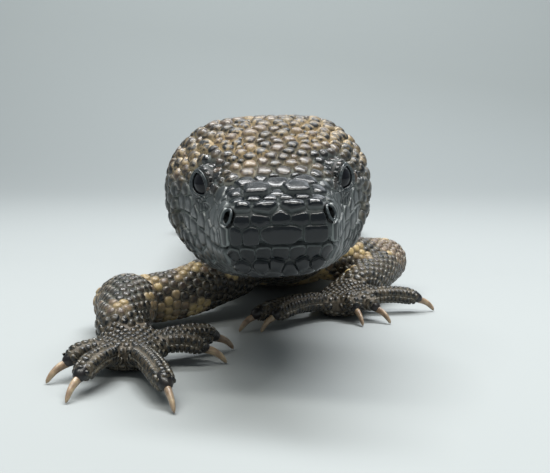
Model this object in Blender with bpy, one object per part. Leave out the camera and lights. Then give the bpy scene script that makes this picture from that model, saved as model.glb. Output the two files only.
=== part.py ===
"""Life-size still model of an adult Rio Fuerte beaded lizard, belly on the ground, head raised.

The snout points to -Y, +X is the animal's left, and the origin is under the middle of the belly,
on the ground. Sizes are in millimetres and are turned to metres when a mesh is made.
"""

import math

import bmesh
import bpy
import numpy as np
from mathutils import Matrix, Vector

MM = 0.001
GAP = 0.3  # clear gap between touching pieces
CUT_GAP = 0.36  # a cutter stands this far off the piece it is copied from

# Driving sizes of the animal
HEAD_LENGTH = 62.0  # snout to the back of the jowls
HEAD_WIDTH = 52.0
TRUNK_START = 110.0  # from the snout to the shoulders, along the body
VENT = 338.0  # snout to vent
TOTAL_LENGTH = 568.0
TAIL_SPLIT = 452.0

# Each eye: its radius, how far behind the snout, to the side and up its middle lies, how far forward of
# straight out it looks and how far the top of the lids' opening leans back, in degrees
EYE_RADIUS = 3.5
EYE_BACK = 25.0
EYE_SIDE = 14.2
EYE_UP = 9.4
EYE_FORWARD = 40.0
EYE_LEAN = 44.0
LID_RADIUS = 4.1
LID_OPENING = (2.3, 3.1, 2.6)  # half width, half height and depth of the opening between the lids
NOSTRIL = (10.5, 2.3, 6.2)  # to the side, back and up
NOSTRIL_RADII = (1.3, 1.6, 1.6)
EAR = (24.4, 55.0, 0.5)
EAR_RADII = (2.0, 1.6, 3.4)

# Where the head is held: the front of the mouth line, and the head's turn, nod and tilt in degrees
MOUTH_FRONT = Vector((1.2, -215.0, 34.2))
HEAD_YAW = 3.3
HEAD_NOD = 5.5
HEAD_TILT = 2.4
HEAD_AXIS = 3.0  # height of the widest line of the head over the mouth line
NOSE_DEPTH = 6.0  # length of the blunt front of the snout
NOSE_SHAPE = 3.0  # squareness of the front from the side
NOSE_SQUARE = 4.4  # and from above
CHIN_SETBACK = 2.2  # the lower jaw ends this far behind the upper lip

# Sections of the head: distance behind the snout, half width, crown, throat, squareness above and below
HEAD_FORM = (
    (6, 12.3, 9.4, -8.4, 3.6, 3.4),
    (12, 13.7, 11.2, -9.8, 3.3, 3.4),
    (20, 16.0, 14.3, -12.0, 2.9, 3.2),
    (28, 19.6, 17.6, -14.2, 2.6, 2.9),
    (36, 22.6, 20.0, -16.0, 2.5, 2.4),
    (46, 25.2, 21.5, -17.4, 2.5, 2.1),
    (54, 25.4, 21.2, -17.4, 2.4, 2.1),
    (62, 23.6, 20.3, -15.8, 2.3, 2.4),
)

# Swells and hollows of the face: distance behind the snout, side, height, reach along, reach across, rise
FACE_FORM = (
    (25.0, 13.0, 17.0, 7.0, 3.6, 1.3),  # brow
    (15.0, 13.5, 7.5, 5.0, 3.5, -0.9),  # hollow before the eye
    (5.5, 10.0, 6.0, 3.0, 3.0, 0.5),  # swell round the nostril
    (30.0, 18.5, 4.0, 6.0, 2.5, -0.5),  # fold under the eye
    (49.0, 25.0, -3.0, 8.0, 6.0, 0.3),  # jowl
    (46.0, 14.0, 20.0, 8.0, 6.0, 0.8),  # muscle behind the brow
    (34.0, 22.5, -1.0, 4.5, 2.2, -1.1),  # hollow at the corner of the mouth
    (4.0, 3.5, 9.6, 1.8, 3.6, -0.7),  # shelf on the end of the snout
    (20.0, 15.2, 4.9, 4.5, 0.8, -0.6),  # groove under the eye
)

# The mouth line: distance behind the snout, height
MOUTH_LINE = ((-8, 0.0), (4, 0.0), (16, 0.2), (30, 1.3), (42, 0.6), (52, -1.5), (70, -3.0))

# Sections behind the head: distance from the snout, half width, height over and under the axis, squareness
BODY_FORM = (
    (62, 23.6, 17.3, 18.8, 2.3, 2.4),
    (75, 21.6, 16.6, 18.6, 2.3, 2.4),
    (92, 22.2, 16.6, 20.0, 2.2, 2.4),
    (110, 25.5, 17.6, 21.5, 2.2, 2.4),
    (140, 31.0, 20.6, 24.0, 2.2, 2.5),
    (180, 36.5, 23.6, 24.0, 2.2, 2.6),
    (220, 38.5, 24.8, 24.0, 2.2, 2.6),
    (260, 37.2, 24.2, 24.0, 2.2, 2.6),
    (300, 31.0, 21.6, 23.0, 2.2, 2.5),
    (330, 23.0, 18.4, 20.0, 2.1, 2.3),
    (350, 18.6, 16.6, 17.6, 2.0, 2.1),
    (390, 15.4, 14.4, 15.0, 2.0, 2.0),
    (440, 13.0, 12.3, 12.8, 2.0, 2.0),
    (500, 10.6, 10.0, 10.5, 2.0, 2.0),
    (545, 8.4, 7.9, 8.3, 2.0, 2.0),
    (568, 7.2, 6.8, 7.1, 2.0, 2.0),
)

# The spine from the shoulders back: distance from the snout, heading from +Y in degrees, height
SPINE_START = (-2.0, -105.0)
SPINE = (
    (110, 3.0, 27.0),
    (140, 2.5, 23.2),
    (180, 1.0, 21.4),
    (220, -1.5, 21.0),
    (260, -4.0, 21.0),
    (300, -6.0, 20.2),
    (330, -6.5, 18.2),
    (350, -4.0, 16.6),
    (390, 4.0, 14.4),
    (440, 12.0, 12.4),
    (500, 22.0, 10.2),
    (568, 32.0, 6.8),
)
NECK_PULL = 17.0  # how far the neck keeps each end's direction
TAIL_END = 9.0  # length of the rounded end of the tail

# Each leg: its side, then the joints of its upper and lower part (distance from the middle plane, along,
# height, half thickness)
LEGS = {
    "front_right": (
        -1,
        ((13, -118, 13, 9.0), (30, -136, 8.8, 7.9), (45.5, -144, 7.9, 7.4)),
        ((45.5, -144, 7.9, 7.3), (40.5, -156, 10.2, 8.6), (40, -172, 8.0, 6.4)),
    ),
    "front_left": (
        1,
        ((13, -104, 17, 9.0), (27, -97, 13.2, 8.6), (39.6, -87, 11.2, 8.6)),
        ((39.6, -87, 11.2, 8.4), (35, -101, 9.8, 7.4), (28, -114, 8.2, 6.3)),
    ),
    "hind_right": (
        -1,
        ((15, 100, 17, 10.4), (33, 92, 15, 10.2), (47, 82, 12.0, 9.0)),
        ((47, 82, 12.0, 8.8), (46.5, 101, 10.4, 8.2), (45, 117, 8.2, 6.4)),
    ),
    "hind_left": (
        1,
        ((2, 98, 17, 10.4), (24, 84, 15, 10.2), (39, 70, 12.2, 9.0)),
        ((39, 70, 12.2, 8.8), (40.5, 89, 10.6, 8.2), (40, 104, 8.2, 6.4)),
    ),
}
LEG_NAMES = {
    "front_right": ("upper_arm_right", "forearm_right", "hand_right"),
    "front_left": ("upper_arm_left", "forearm_left", "hand_left"),
    "hind_right": ("thigh_right", "shank_right", "foot_right"),
    "hind_left": ("thigh_left", "shank_left", "foot_left"),
}

# Each foot: middle of the sole (distance from the middle plane, along), its heading in degrees from the
# snout's direction turning outwards, its length and width, then the claw points from the inner toe to
# the outer
FEET = {
    "front_right": (
        (35.5, -181.0), -5.0, 20.0, 18.0,
        ((11, -166), (12, -179), (20.4, -214), (44, -208), (52, -195)),
    ),
    "front_left": (
        (21.0, -125.0), 0.0, 19.0, 17.0,
        ((-10.3, -148), (-4, -148.5), (26.2, -141), (34.8, -138), (51.5, -120)),
    ),
    "hind_right": (
        (47.0, 126.0), 160.0, 22.0, 17.0,
        ((38, 150), (45, 154), (53, 153), (60, 147), (63, 131)),
    ),
    "hind_left": (
        (41.0, 113.0), 165.0, 22.0, 17.0,
        ((32, 137), (39, 141), (46, 140), (52, 135), (54, 119)),
    ),
}
TOE_RADIUS = 2.4
TOE_ARCH = 2.6  # how high the middle of a toe is carried over a straight line
TOE_END = 4.3  # height of the last joint of a toe
CLAW_RUN = 5.6  # how far a claw reaches along the ground
CLAW_RADIUS = 1.0
SOLE_HEIGHT = 9.0

# How finely each piece is divided. Counts round a ring are multiples of 3, so that the scutes meet all round.
HEAD_RING = 45
NECK_RING = 24
TRUNK_RING = 30
TAIL_BASE_RING = 18
TAIL_TIP_RING = 12
LIMB_RING = 12
PALM_RING = 10
TOE_RING = 6
BACK_CROWDING = 0.3  # how much closer the points are over the back than under the belly

# How far a scute's top stands over the skin between the scutes
HEAD_SCUTE = 1.3
BODY_SCUTE = 1.9
TAIL_SCUTE = 1.6
LIMB_SCUTE = 1.3
SNOUT_SHARE = 0.35  # the snout's plates are this much as high as the crown's scutes
PEAK_SHARE = 0.6  # share of a scute's height that rises over the mean surface
LIP_RISE = 0.45
LIP_REACH = 1.8

COLOURS = {
    "beaded_skin": ((0.035, 0.032, 0.032), 0.45),
    "banded_skin": ((0.16, 0.12, 0.06), 0.5),
    "dark_eye": ((0.01, 0.012, 0.02), 0.08),
}


def clear_scene():
    """Starts from an empty scene."""
    for old in list(bpy.data.objects):
        bpy.data.objects.remove(old, do_unlink=True)


def material(name):
    """The named Principled material, made once."""
    found = bpy.data.materials.get(name)
    if found:
        return found
    made = bpy.data.materials.new(name)
    made.use_nodes = True
    colour, roughness = COLOURS[name]
    shader = made.node_tree.nodes["Principled BSDF"]
    shader.inputs["Base Color"].default_value = (*colour, 1.0)
    shader.inputs["Roughness"].default_value = roughness
    shader.inputs["Metallic"].default_value = 0.0
    return made


def add_object(name, points, faces, finish):
    """A mesh object from points in millimetres."""
    mesh = bpy.data.meshes.new(name)
    mesh.from_pydata([tuple(p) for p in np.asarray(points) * MM], [], [tuple(map(int, f)) for f in faces])
    mesh.validate()
    mesh.shade_smooth()
    mesh.materials.append(material(finish))
    made = bpy.data.objects.new(name, mesh)
    bpy.context.scene.collection.objects.link(made)
    return made


def track(knots, at):
    """Values of a table at a distance, on a smooth curve through its rows."""
    table = np.array(knots, float)
    where, values = table[:, 0], table[:, 1:]
    slope = np.gradient(values, where, axis=0)
    at = np.atleast_1d(np.asarray(at, float))
    i = np.clip(np.searchsorted(where, at, "right") - 1, 0, len(where) - 2)
    step = (where[i + 1] - where[i])[:, None]
    u = np.clip((at[:, None] - where[i][:, None]) / step, 0.0, 1.0)
    rise = values[i + 1] - values[i]
    return (
        values[i]
        + (3 * u**2 - 2 * u**3) * rise
        + (u**3 - 2 * u**2 + u) * step * slope[i]
        + (u**3 - u**2) * step * slope[i + 1]
    )


def unit(v):
    return v / np.linalg.norm(v)


def section(centre, side, up, shape, angles):
    """Points round one section. shape: half width, reach up, reach down, squareness above and below."""
    width, over, under, above, below = shape
    c, s = np.cos(angles), np.sin(angles)
    power = np.where(s >= 0, 2.0 / above, 2.0 / below)
    x = width * np.sign(c) * np.abs(c) ** power
    z = np.where(s >= 0, over, under) * np.sign(s) * np.abs(s) ** power
    return centre + np.outer(x, side) + np.outer(z, up)


def ring_angles(count, row, crowding=0.0):
    """Angles round a section, where every other row is turned by half a step."""
    angles = 2 * math.pi * (np.arange(count) + 0.5 * (row % 2)) / count
    return angles + crowding * np.cos(angles)


def head_frame():
    """The head's own directions in the world: side (its left), back and up."""
    yaw, nod, tilt = (math.radians(a) for a in (HEAD_YAW, HEAD_NOD, HEAD_TILT))
    turn = Matrix.Rotation(yaw, 3, "Z") @ Matrix.Rotation(nod, 3, "X") @ Matrix.Rotation(-tilt, 3, "Y")
    return [np.array(turn @ Vector(axis)) for axis in ((1, 0, 0), (0, 1, 0), (0, 0, 1))]


def head_point(side, back, up):
    """A point given in the head's own directions, in the world."""
    across, behind, over = head_frame()
    return np.array(MOUTH_FRONT) + side * across + back * behind + up * over


def head_rings(stops, count):
    """Rings of the head, in its own directions (side, back, up)."""
    rings = []
    for row, back in enumerate(stops):
        width, crown, throat, above, below = track(HEAD_FORM, max(back, NOSE_DEPTH))[0]
        nose = broad = 1.0
        if back < NOSE_DEPTH:
            ahead = (NOSE_DEPTH - back) / NOSE_DEPTH
            nose = (1 - ahead**NOSE_SHAPE) ** (1 / NOSE_SHAPE)
            broad = (1 - ahead**NOSE_SQUARE) ** (1 / NOSE_SQUARE)
        shape = (width * broad, (crown - HEAD_AXIS) * nose, (HEAD_AXIS - throat) * nose, above, below)
        centre = np.array((0.0, back, HEAD_AXIS))
        ring = section(centre, np.array((1.0, 0, 0)), np.array((0, 0, 1.0)), shape, ring_angles(count, row))
        below_lip = np.clip(-ring[:, 2] / 3.0, 0, 1) * np.clip(1 - back / 18.0, 0, 1)
        ring[:, 1] += CHIN_SETBACK * below_lip
        rings.append(ring)
    return np.array(rings)


def face_rise(points):
    """How far the face's swells and hollows lift each point of the head."""
    rise = np.zeros(points.shape[:-1])
    for back, side, up, along, across, height in FACE_FORM:
        away = ((points[..., 1] - back) / along) ** 2
        spread = ((np.abs(points[..., 0]) - side) ** 2 + (points[..., 2] - up) ** 2) / across**2
        rise += height * np.exp(-away - spread)
    return rise


def lip_rise(points):
    """How far the lips stand out along the mouth line."""
    line = track(MOUTH_LINE, points[..., 1].ravel())[:, 0].reshape(points.shape[:-1])
    return LIP_RISE * np.exp(-(((points[..., 2] - line) / LIP_REACH) ** 2))


def row_normals(rings):
    """Outward directions at the points of a stack of closed rings."""
    along = np.gradient(rings, axis=0)
    around = np.roll(rings, -1, axis=1) - np.roll(rings, 1, axis=1)
    normal = np.cross(along, around)
    length = np.linalg.norm(normal, axis=2, keepdims=True)
    normal = normal / np.where(length > 0, length, 1)
    outwards = rings - rings.mean(axis=1, keepdims=True)
    sign = np.sign((normal * outwards).sum(axis=(1, 2)))
    return normal * np.where(sign == 0, 1, sign)[:, None, None]


def with_scutes(rings, height, share=None):
    """Raises every third point of a stack of rings, each amid six lower ones, as a scute.

    The belly stays flat, and so do the first and last ring. share gives each ring its part of the height.
    """
    rows, count = rings.shape[:2]
    i, j = np.meshgrid(np.arange(rows), np.arange(count), indexing="ij")
    peak = (j - i // 2 - i) % 3 == 0
    normals = row_normals(rings)
    lift = np.where(peak, PEAK_SHARE, PEAK_SHARE - 1) * height
    lift *= np.clip((normals[..., 2] + 0.8) / 0.5, 0, 1)
    if share is not None:
        lift *= np.asarray(share)[:, None]
    lift[0] = lift[-1] = 0
    return rings + normals * lift[..., None]


def even_stops(start, end, ring_length, count):
    """Distances between two ends at which rings of a count of points make even triangles."""
    step = ring_length / count * math.sqrt(3) / 2
    return np.linspace(start, end, max(int(round((end - start) / step)) + 1, 3))


def lattice_faces(rows, count):
    """Triangles between rings, where every other ring is turned by half a step."""
    faces = []
    for i in range(rows - 1):
        low, high = i * count, (i + 1) * count
        for j in range(count):
            k = (j + 1) % count
            if i % 2 == 0:
                faces += [(low + j, low + k, high + j), (high + j, low + k, high + k)]
            else:
                faces += [(high + j, low + j, high + k), (low + j, low + k, high + k)]
    return faces


def closed_tube(name, rings, finish, first_tip=None, last_tip=None):
    """A closed piece from a stack of rings. Each end is a flat face, or runs to a tip point."""
    rows, count = rings.shape[:2]
    points = list(rings.reshape(-1, 3))
    faces = lattice_faces(rows, count)
    last = (rows - 1) * count
    for tip, start, turned in ((first_tip, 0, True), (last_tip, last, False)):
        ring = [start + j for j in range(count)]
        if turned:
            ring.reverse()
        if tip is None:
            faces.append(tuple(ring))
            continue
        points.append(np.asarray(tip, float))
        faces += [(ring[j], ring[(j + 1) % count], len(points) - 1) for j in range(count)]
    made = add_object(name, points, faces, finish)
    face_outwards(made)
    return made


def face_outwards(piece):
    """Triangulates a piece and points its faces out."""
    work = bmesh.new()
    work.from_mesh(piece.data)
    bmesh.ops.triangulate(work, faces=work.faces[:])
    bmesh.ops.recalc_face_normals(work, faces=work.faces[:])
    work.to_mesh(piece.data)
    work.free()


def apply_boolean(piece, operation, cutters):
    """Joins or cuts a piece with others, and removes those."""
    group = bpy.data.collections.new("cutters")
    for cutter in cutters:
        group.objects.link(cutter)
    step = piece.modifiers.new("join", "BOOLEAN")
    step.operation = operation
    step.operand_type = "COLLECTION"
    step.collection = group
    step.solver = "EXACT"
    bpy.context.view_layer.update()
    graph = bpy.context.evaluated_depsgraph_get()
    result = bpy.data.meshes.new_from_object(piece.evaluated_get(graph))
    piece.modifiers.remove(step)
    finish = piece.data.materials[0]
    piece.data = result
    piece.data.materials.clear()
    piece.data.materials.append(finish)
    for cutter in cutters:
        bpy.data.objects.remove(cutter, do_unlink=True)
    bpy.data.collections.remove(group)
    keep_largest(piece)


def keep_largest(piece):
    """Keeps the largest closed surface of a piece, as triangles with no slivers."""
    work = bmesh.new()
    work.from_mesh(piece.data)
    bmesh.ops.remove_doubles(work, verts=work.verts[:], dist=0.02 * MM)
    bmesh.ops.triangulate(work, faces=work.faces[:])
    left, groups = set(work.verts), []
    while left:
        group, front = set(), [left.pop()]
        while front:
            here = front.pop()
            group.add(here)
            for edge in here.link_edges:
                other = edge.other_vert(here)
                if other in left:
                    left.remove(other)
                    front.append(other)
        groups.append(group)
    groups.sort(key=len)
    for group in groups[:-1]:
        bmesh.ops.delete(work, geom=list(group), context="VERTS")
    bmesh.ops.recalc_face_normals(work, faces=work.faces[:])
    work.to_mesh(piece.data)
    work.free()


def standing_off(piece, gap=CUT_GAP):
    """A copy of a piece, moved outwards by a gap, to cut its neighbours clear of it."""
    copy = piece.copy()
    copy.data = piece.data.copy()
    bpy.context.scene.collection.objects.link(copy)
    work = bmesh.new()
    work.from_mesh(copy.data)
    work.normal_update()
    for vertex in work.verts:
        vertex.co += vertex.normal * vertex.calc_shell_factor() * gap * MM
    work.to_mesh(copy.data)
    work.free()
    return copy


def ball(name, centre, radii, turn, steps, finish):
    """A squashed ball with its poles along the turned Z axis."""
    work = bmesh.new()
    bmesh.ops.create_uvsphere(work, u_segments=steps, v_segments=steps // 2, radius=1.0)
    mesh = bpy.data.meshes.new(name)
    for vertex in work.verts:
        local = Vector([c * r for c, r in zip(vertex.co, radii)])
        vertex.co = (turn @ local + Vector(centre)) * MM
    bmesh.ops.triangulate(work, faces=work.faces[:])
    bmesh.ops.recalc_face_normals(work, faces=work.faces[:])
    work.to_mesh(mesh)
    work.free()
    mesh.shade_smooth()
    mesh.materials.append(material(finish))
    made = bpy.data.objects.new(name, mesh)
    bpy.context.scene.collection.objects.link(made)
    return made


def rest_on_ground(piece):
    """Flattens whatever would reach below the ground."""
    for vertex in piece.data.vertices:
        vertex.co.z = max(vertex.co.z, 0.0)


# Head

def mouth_block(name, above):
    """A block that covers one side of the mouth line: all above it or all below it."""
    backs = np.linspace(-8, 70, 27)
    heights = track(MOUTH_LINE, backs)[:, 0] + (0.0 if above else GAP + 0.1)
    reach, far = 40.0, 60.0 if above else -60.0
    points, faces = [], []
    for side in (-reach, reach):
        points += [head_point(side, b, h) for b, h in zip(backs, heights)]
        points += [head_point(side, b, far) for b in backs]
    n = len(backs)
    for i in range(n - 1):
        faces += [(i, i + 1, 2 * n + i + 1, 2 * n + i), (n + i, 3 * n + i, 3 * n + i + 1, n + i + 1)]
        faces += [(i, n + i, n + i + 1, i + 1), (2 * n + i, 2 * n + i + 1, 3 * n + i + 1, 3 * n + i)]
    faces += [(0, 2 * n, 3 * n, n), (n - 1, 2 * n - 1, 4 * n - 1, 3 * n - 1)]
    made = add_object(name, points, faces, "beaded_skin")
    face_outwards(made)
    return made


def whole_head(name):
    """The head in one piece, from the snout to its flat back face."""
    front = [0.25, 0.9, 2.0, 3.8, 6.0, 8.6, 11.4, 14.2]
    stops = np.concatenate((front, np.linspace(17, HEAD_LENGTH - GAP / 2, 17)))
    rings = head_rings(stops, HEAD_RING)
    normals = row_normals(rings)
    rings = rings + normals * (face_rise(rings) + lip_rise(rings))[..., None]
    share = SNOUT_SHARE + (1 - SNOUT_SHARE) * np.clip((stops - 11) / 8, 0, 1)
    share *= np.clip(stops / 4, 0, 1)
    rings = with_scutes(rings, HEAD_SCUTE, share)
    across, behind, over = head_frame()
    place = np.array([across, behind, over])
    rings = rings @ place + np.array(MOUTH_FRONT)
    tip = head_point(0, 0.05, HEAD_AXIS)
    return closed_tube(name, rings, "beaded_skin", first_tip=tip)


def eye_turn(side):
    """Turns Z to where an eye looks, and Y to the leaning height of the opening between its lids."""
    forward, lean = math.radians(EYE_FORWARD), math.radians(EYE_LEAN)
    out = unit(np.array((side * math.cos(forward), -math.sin(forward), 0.12)))
    up = np.array((0.0, math.sin(lean), math.cos(lean)))
    up = unit(up - out * up.dot(out))
    columns = np.array((np.cross(up, out), up, out)) @ np.array(head_frame())
    return Matrix(columns.T.tolist())


def make_head():
    """The upper head with its lids, nostrils and ears, the lower jaw, and both eyes."""
    head = whole_head("head")
    jaw = whole_head("lower_jaw")
    apply_boolean(head, "DIFFERENCE", [mouth_block("below", False)])
    apply_boolean(jaw, "DIFFERENCE", [mouth_block("above", True)])
    lids, sockets = [], []
    for side, name in ((1, "eye_left"), (-1, "eye_right")):
        centre = head_point(side * EYE_SIDE, EYE_BACK, EYE_UP)
        turn = eye_turn(side)
        lids.append(ball("lid", centre, [LID_RADIUS] * 3, turn, 14, "beaded_skin"))
        sockets.append(ball("socket", centre, [EYE_RADIUS + GAP] * 3, turn, 12, "beaded_skin"))
        looks = turn @ Vector((0, 0, 1))
        opening = Vector(centre) + looks * LID_RADIUS
        sockets.append(ball("opening", opening, LID_OPENING, turn, 12, "beaded_skin"))
        ball(name, centre, [EYE_RADIUS] * 3, turn, 12, "dark_eye")
    apply_boolean(head, "UNION", lids)
    holes = []
    for side in (1, -1):
        nostril = head_point(side * NOSTRIL[0], NOSTRIL[1], NOSTRIL[2])
        ear = head_point(side * EAR[0], EAR[1], EAR[2])
        holes.append(ball("nostril", nostril, NOSTRIL_RADII, Matrix.Identity(3), 8, "beaded_skin"))
        holes.append(ball("ear", ear, EAR_RADII, Matrix.Identity(3), 8, "beaded_skin"))
    apply_boolean(head, "DIFFERENCE", sockets)
    apply_boolean(head, "DIFFERENCE", holes)
    return [head, jaw]


# Neck, trunk and tail

def spine_table():
    """Points of the spine every millimetre from the shoulders to the tail's end."""
    stops = np.arange(TRUNK_START, TOTAL_LENGTH + 0.5, 1.0)
    values = track(SPINE, stops)
    heading = np.radians(values[:, 0])
    x = SPINE_START[0] + np.concatenate(([0], np.cumsum(np.sin(heading))[:-1]))
    y = SPINE_START[1] + np.concatenate(([0], np.cumsum(np.cos(heading))[:-1]))
    return np.column_stack((stops, x, y, values[:, 1]))


def body_rings(stops, count, crowding=0.0):
    """Rings of the trunk and tail."""
    spine = spine_table()
    rings = []
    for row, stop in enumerate(stops):
        centre = np.array([np.interp(stop, spine[:, 0], spine[:, k]) for k in (1, 2, 3)])
        ahead = np.array([np.interp(stop + 1.5, spine[:, 0], spine[:, k]) for k in (1, 2, 3)])
        behind = np.array([np.interp(stop - 1.5, spine[:, 0], spine[:, k]) for k in (1, 2, 3)])
        way = unit(ahead - behind)
        side = unit(np.cross(way, (0, 0, 1)))
        up = np.cross(side, way)
        shape = track(BODY_FORM, stop)[0]
        left = TOTAL_LENGTH - stop
        if left < TAIL_END:
            end = math.sqrt(max(1 - ((TAIL_END - left) / TAIL_END) ** 2, 0.0))
            shape = shape * np.array((end, end, end, 1, 1))
        rings.append(section(centre, side, up, shape, ring_angles(count, row, crowding)))
    return np.array(rings)


def neck_rings(stops, count, crowding):
    """Rings of the neck, which leaves the head straight and meets the shoulders straight."""
    spine = spine_table()
    across, back, over = head_frame()
    start = head_point(0, HEAD_LENGTH, HEAD_AXIS)
    end = spine[0, 1:]
    end_way = unit(spine[2, 1:] - spine[0, 1:])
    pull = 3 * NECK_PULL
    rings = []
    for row, stop in enumerate(stops):
        u = (stop - HEAD_LENGTH) / (TRUNK_START - HEAD_LENGTH)
        basis = (2 * u**3 - 3 * u**2 + 1, u**3 - 2 * u**2 + u, 3 * u**2 - 2 * u**3, u**3 - u**2)
        slope = (6 * u**2 - 6 * u, 3 * u**2 - 4 * u + 1, 6 * u - 6 * u**2, 3 * u**2 - 2 * u)
        parts = (start, back * pull, end, end_way * pull)
        centre = sum(b * p for b, p in zip(basis, parts))
        way = unit(sum(b * p for b, p in zip(slope, parts)))
        level = unit(np.cross(way, (0, 0, 1)))
        side = unit((1 - u) * across + u * level)
        side = unit(side - way * side.dot(way))
        up = np.cross(side, way)
        shape = track(BODY_FORM, stop)[0]
        rings.append(section(centre, side, up, shape, ring_angles(count, row, crowding)))
    return np.array(rings)


def make_body():
    """The neck, the trunk and the tail in two lengths."""
    half = GAP / 2
    closer = 1 - BACK_CROWDING
    stops = even_stops(HEAD_LENGTH + half, TRUNK_START - half, 134 * closer, NECK_RING)
    rings = with_scutes(neck_rings(stops, NECK_RING, BACK_CROWDING), BODY_SCUTE)
    neck = closed_tube("neck", rings, "banded_skin")
    stops = even_stops(TRUNK_START + half, VENT - half, 205 * closer, TRUNK_RING)
    rings = with_scutes(body_rings(stops, TRUNK_RING, BACK_CROWDING), BODY_SCUTE)
    trunk = closed_tube("torso", rings, "banded_skin")
    stops = even_stops(VENT + half, TAIL_SPLIT - half, 98, TAIL_BASE_RING)
    rings = with_scutes(body_rings(stops, TAIL_BASE_RING), TAIL_SCUTE)
    base = closed_tube("tail_base", rings, "banded_skin")
    stops = even_stops(TAIL_SPLIT + half, TOTAL_LENGTH - TAIL_END, 64, TAIL_TIP_RING)
    stops = np.concatenate((stops, TOTAL_LENGTH - np.array((5.5, 2.8, 0.9))))
    rings = with_scutes(body_rings(stops, TAIL_TIP_RING), TAIL_SCUTE)
    point = closed_tube("tail_tip", rings, "banded_skin", last_tip=spine_table()[-1, 1:])
    for piece in (trunk, base, point):
        rest_on_ground(piece)
    return [neck, trunk, base, point]


# Legs and feet

def limb_rings(joints, side, count):
    """Rings along a limb through its joints, with rounded ends, and the tip point of each end."""
    joints = np.array([(side * x, y, z, r) for x, y, z, r in joints])
    far = np.concatenate(([0], np.cumsum(np.linalg.norm(np.diff(joints[:, :3], axis=0), axis=1))))
    knots = np.column_stack((far, joints))
    stops = even_stops(0, far[-1], 2 * math.pi * joints[:, 3].mean(), count)
    values = track(knots, stops)
    centres, radii = values[:, :3], values[:, 3]
    ways = np.array([unit(way) for way in np.gradient(centres, axis=0)])
    line, turns, sizes = list(centres), list(ways), list(radii)
    for share in (0.5, 0.87):
        size = math.sqrt(1 - share**2)
        line.insert(0, centres[0] - ways[0] * radii[0] * share)
        turns.insert(0, ways[0])
        sizes.insert(0, radii[0] * size)
        line.append(centres[-1] + ways[-1] * radii[-1] * share)
        turns.append(ways[-1])
        sizes.append(radii[-1] * size)
    rings = []
    for row, (centre, way, radius) in enumerate(zip(line, turns, sizes)):
        across = unit(np.cross(way, (0, 0, 1)))
        up = np.cross(across, way)
        rings.append(section(centre, across, up, (radius, radius, radius, 2, 2), ring_angles(count, row)))
    return np.array(rings), centres[0] - ways[0] * radii[0], centres[-1] + ways[-1] * radii[-1]


def limb(name, joints, side, count=LIMB_RING, scute=LIMB_SCUTE):
    """One part of a leg, rounded at both ends."""
    rings, first, last = limb_rings(joints, side, count)
    if scute:
        share = np.ones(len(rings))
        share[:2] = share[-2:] = 0.3
        rings = with_scutes(rings, scute, share)
    return closed_tube(name, rings, "beaded_skin", first_tip=first, last_tip=last)


def toe_line(start, point):
    """The line of a toe from the sole to the root of its claw, and its direction along the ground."""
    way = unit(np.array((point[0] - start[0], point[1] - start[1], 0.0)))
    length = math.hypot(point[0] - start[0], point[1] - start[1]) - CLAW_RUN
    line = []
    for u in (0.0, 0.3, 0.5, 0.7, 0.86, 1.0):
        height = start[2] * (1 - u) + TOE_END * u + TOE_ARCH * 2.4 * u * (1 - u)
        line.append(np.array((start[0], start[1], height)) + way * length * u)
    return line, way


def tube_rings(line, radii, count, last):
    """Round rings along a line that goes on to a last point."""
    rings = []
    for row, (point, radius) in enumerate(zip(line, radii)):
        before = line[max(row - 1, 0)]
        after = line[row + 1] if row + 1 < len(line) else last
        along = unit(after - before)
        across = unit(np.cross(along, (0, 0, 1)))
        up = np.cross(across, along)
        rings.append(section(point, across, up, (radius, radius, radius, 2, 2), ring_angles(count, row)))
    return np.array(rings)


def make_toe(start, point):
    """One toe with its claw, as two tapered tubes."""
    line, way = toe_line(start, point)
    radii = [TOE_RADIUS * k for k in (1.05, 1.12, 1.0, 1.1, 1.04, 0.88)]
    end = line[-1] + way * TOE_RADIUS * 0.5
    toe = closed_tube("toe", tube_rings(line, radii, TOE_RING, end), "beaded_skin", last_tip=end)
    root = line[-1] - way * 0.4 - np.array((0, 0, 0.3))
    tip = np.array((point[0], point[1], 0.15))
    knee = root + way * CLAW_RUN * 0.66 - np.array((0, 0, 0.12 * (root[2] - tip[2])))
    claw_line = [root * (1 - u) ** 2 + knee * 2 * u * (1 - u) + tip * u**2 for u in (0.0, 0.4, 0.75)]
    radii = [CLAW_RADIUS * k for k in (1.15, 1.0, 0.7)]
    claw = closed_tube("claw", tube_rings(claw_line, radii, TOE_RING, tip), "beaded_skin", last_tip=tip)
    return [toe, claw]


def make_palm(name, middle, way, length, width, wrist):
    """The palm or sole: a flattened tube from the wrist to the roots of the toes."""
    front = middle + way * length * 0.5
    back = np.array(wrist[:3]) - np.array((0, 0, 0.4))
    knuckles = middle + way * length * 0.28
    heel = (middle * 0.75 + back * 0.25) - way * length * 0.12
    line = [back * 1.1 - heel * 0.1, back * 0.8 + heel * 0.2, heel, middle, knuckles, front - way * 1.2]
    widths = (4.2, 6.2, width * 0.43, width * 0.5, width * 0.47, width * 0.3)
    heights = (4.2, 5.8, 5.4, SOLE_HEIGHT * 0.5, SOLE_HEIGHT * 0.44, SOLE_HEIGHT * 0.28)
    rings = []
    for row, (point, wide, high) in enumerate(zip(line, widths, heights)):
        along = unit(line[min(row + 1, 5)] - line[max(row - 1, 0)])
        across = unit(np.cross(along, (0, 0, 1)))
        up = np.cross(across, along)
        rings.append(section(point, across, up, (wide, high, high, 2.2, 2.2), ring_angles(PALM_RING, row)))
    return closed_tube(name, np.array(rings), "beaded_skin", first_tip=line[0] * 2 - line[1], last_tip=front)


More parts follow.
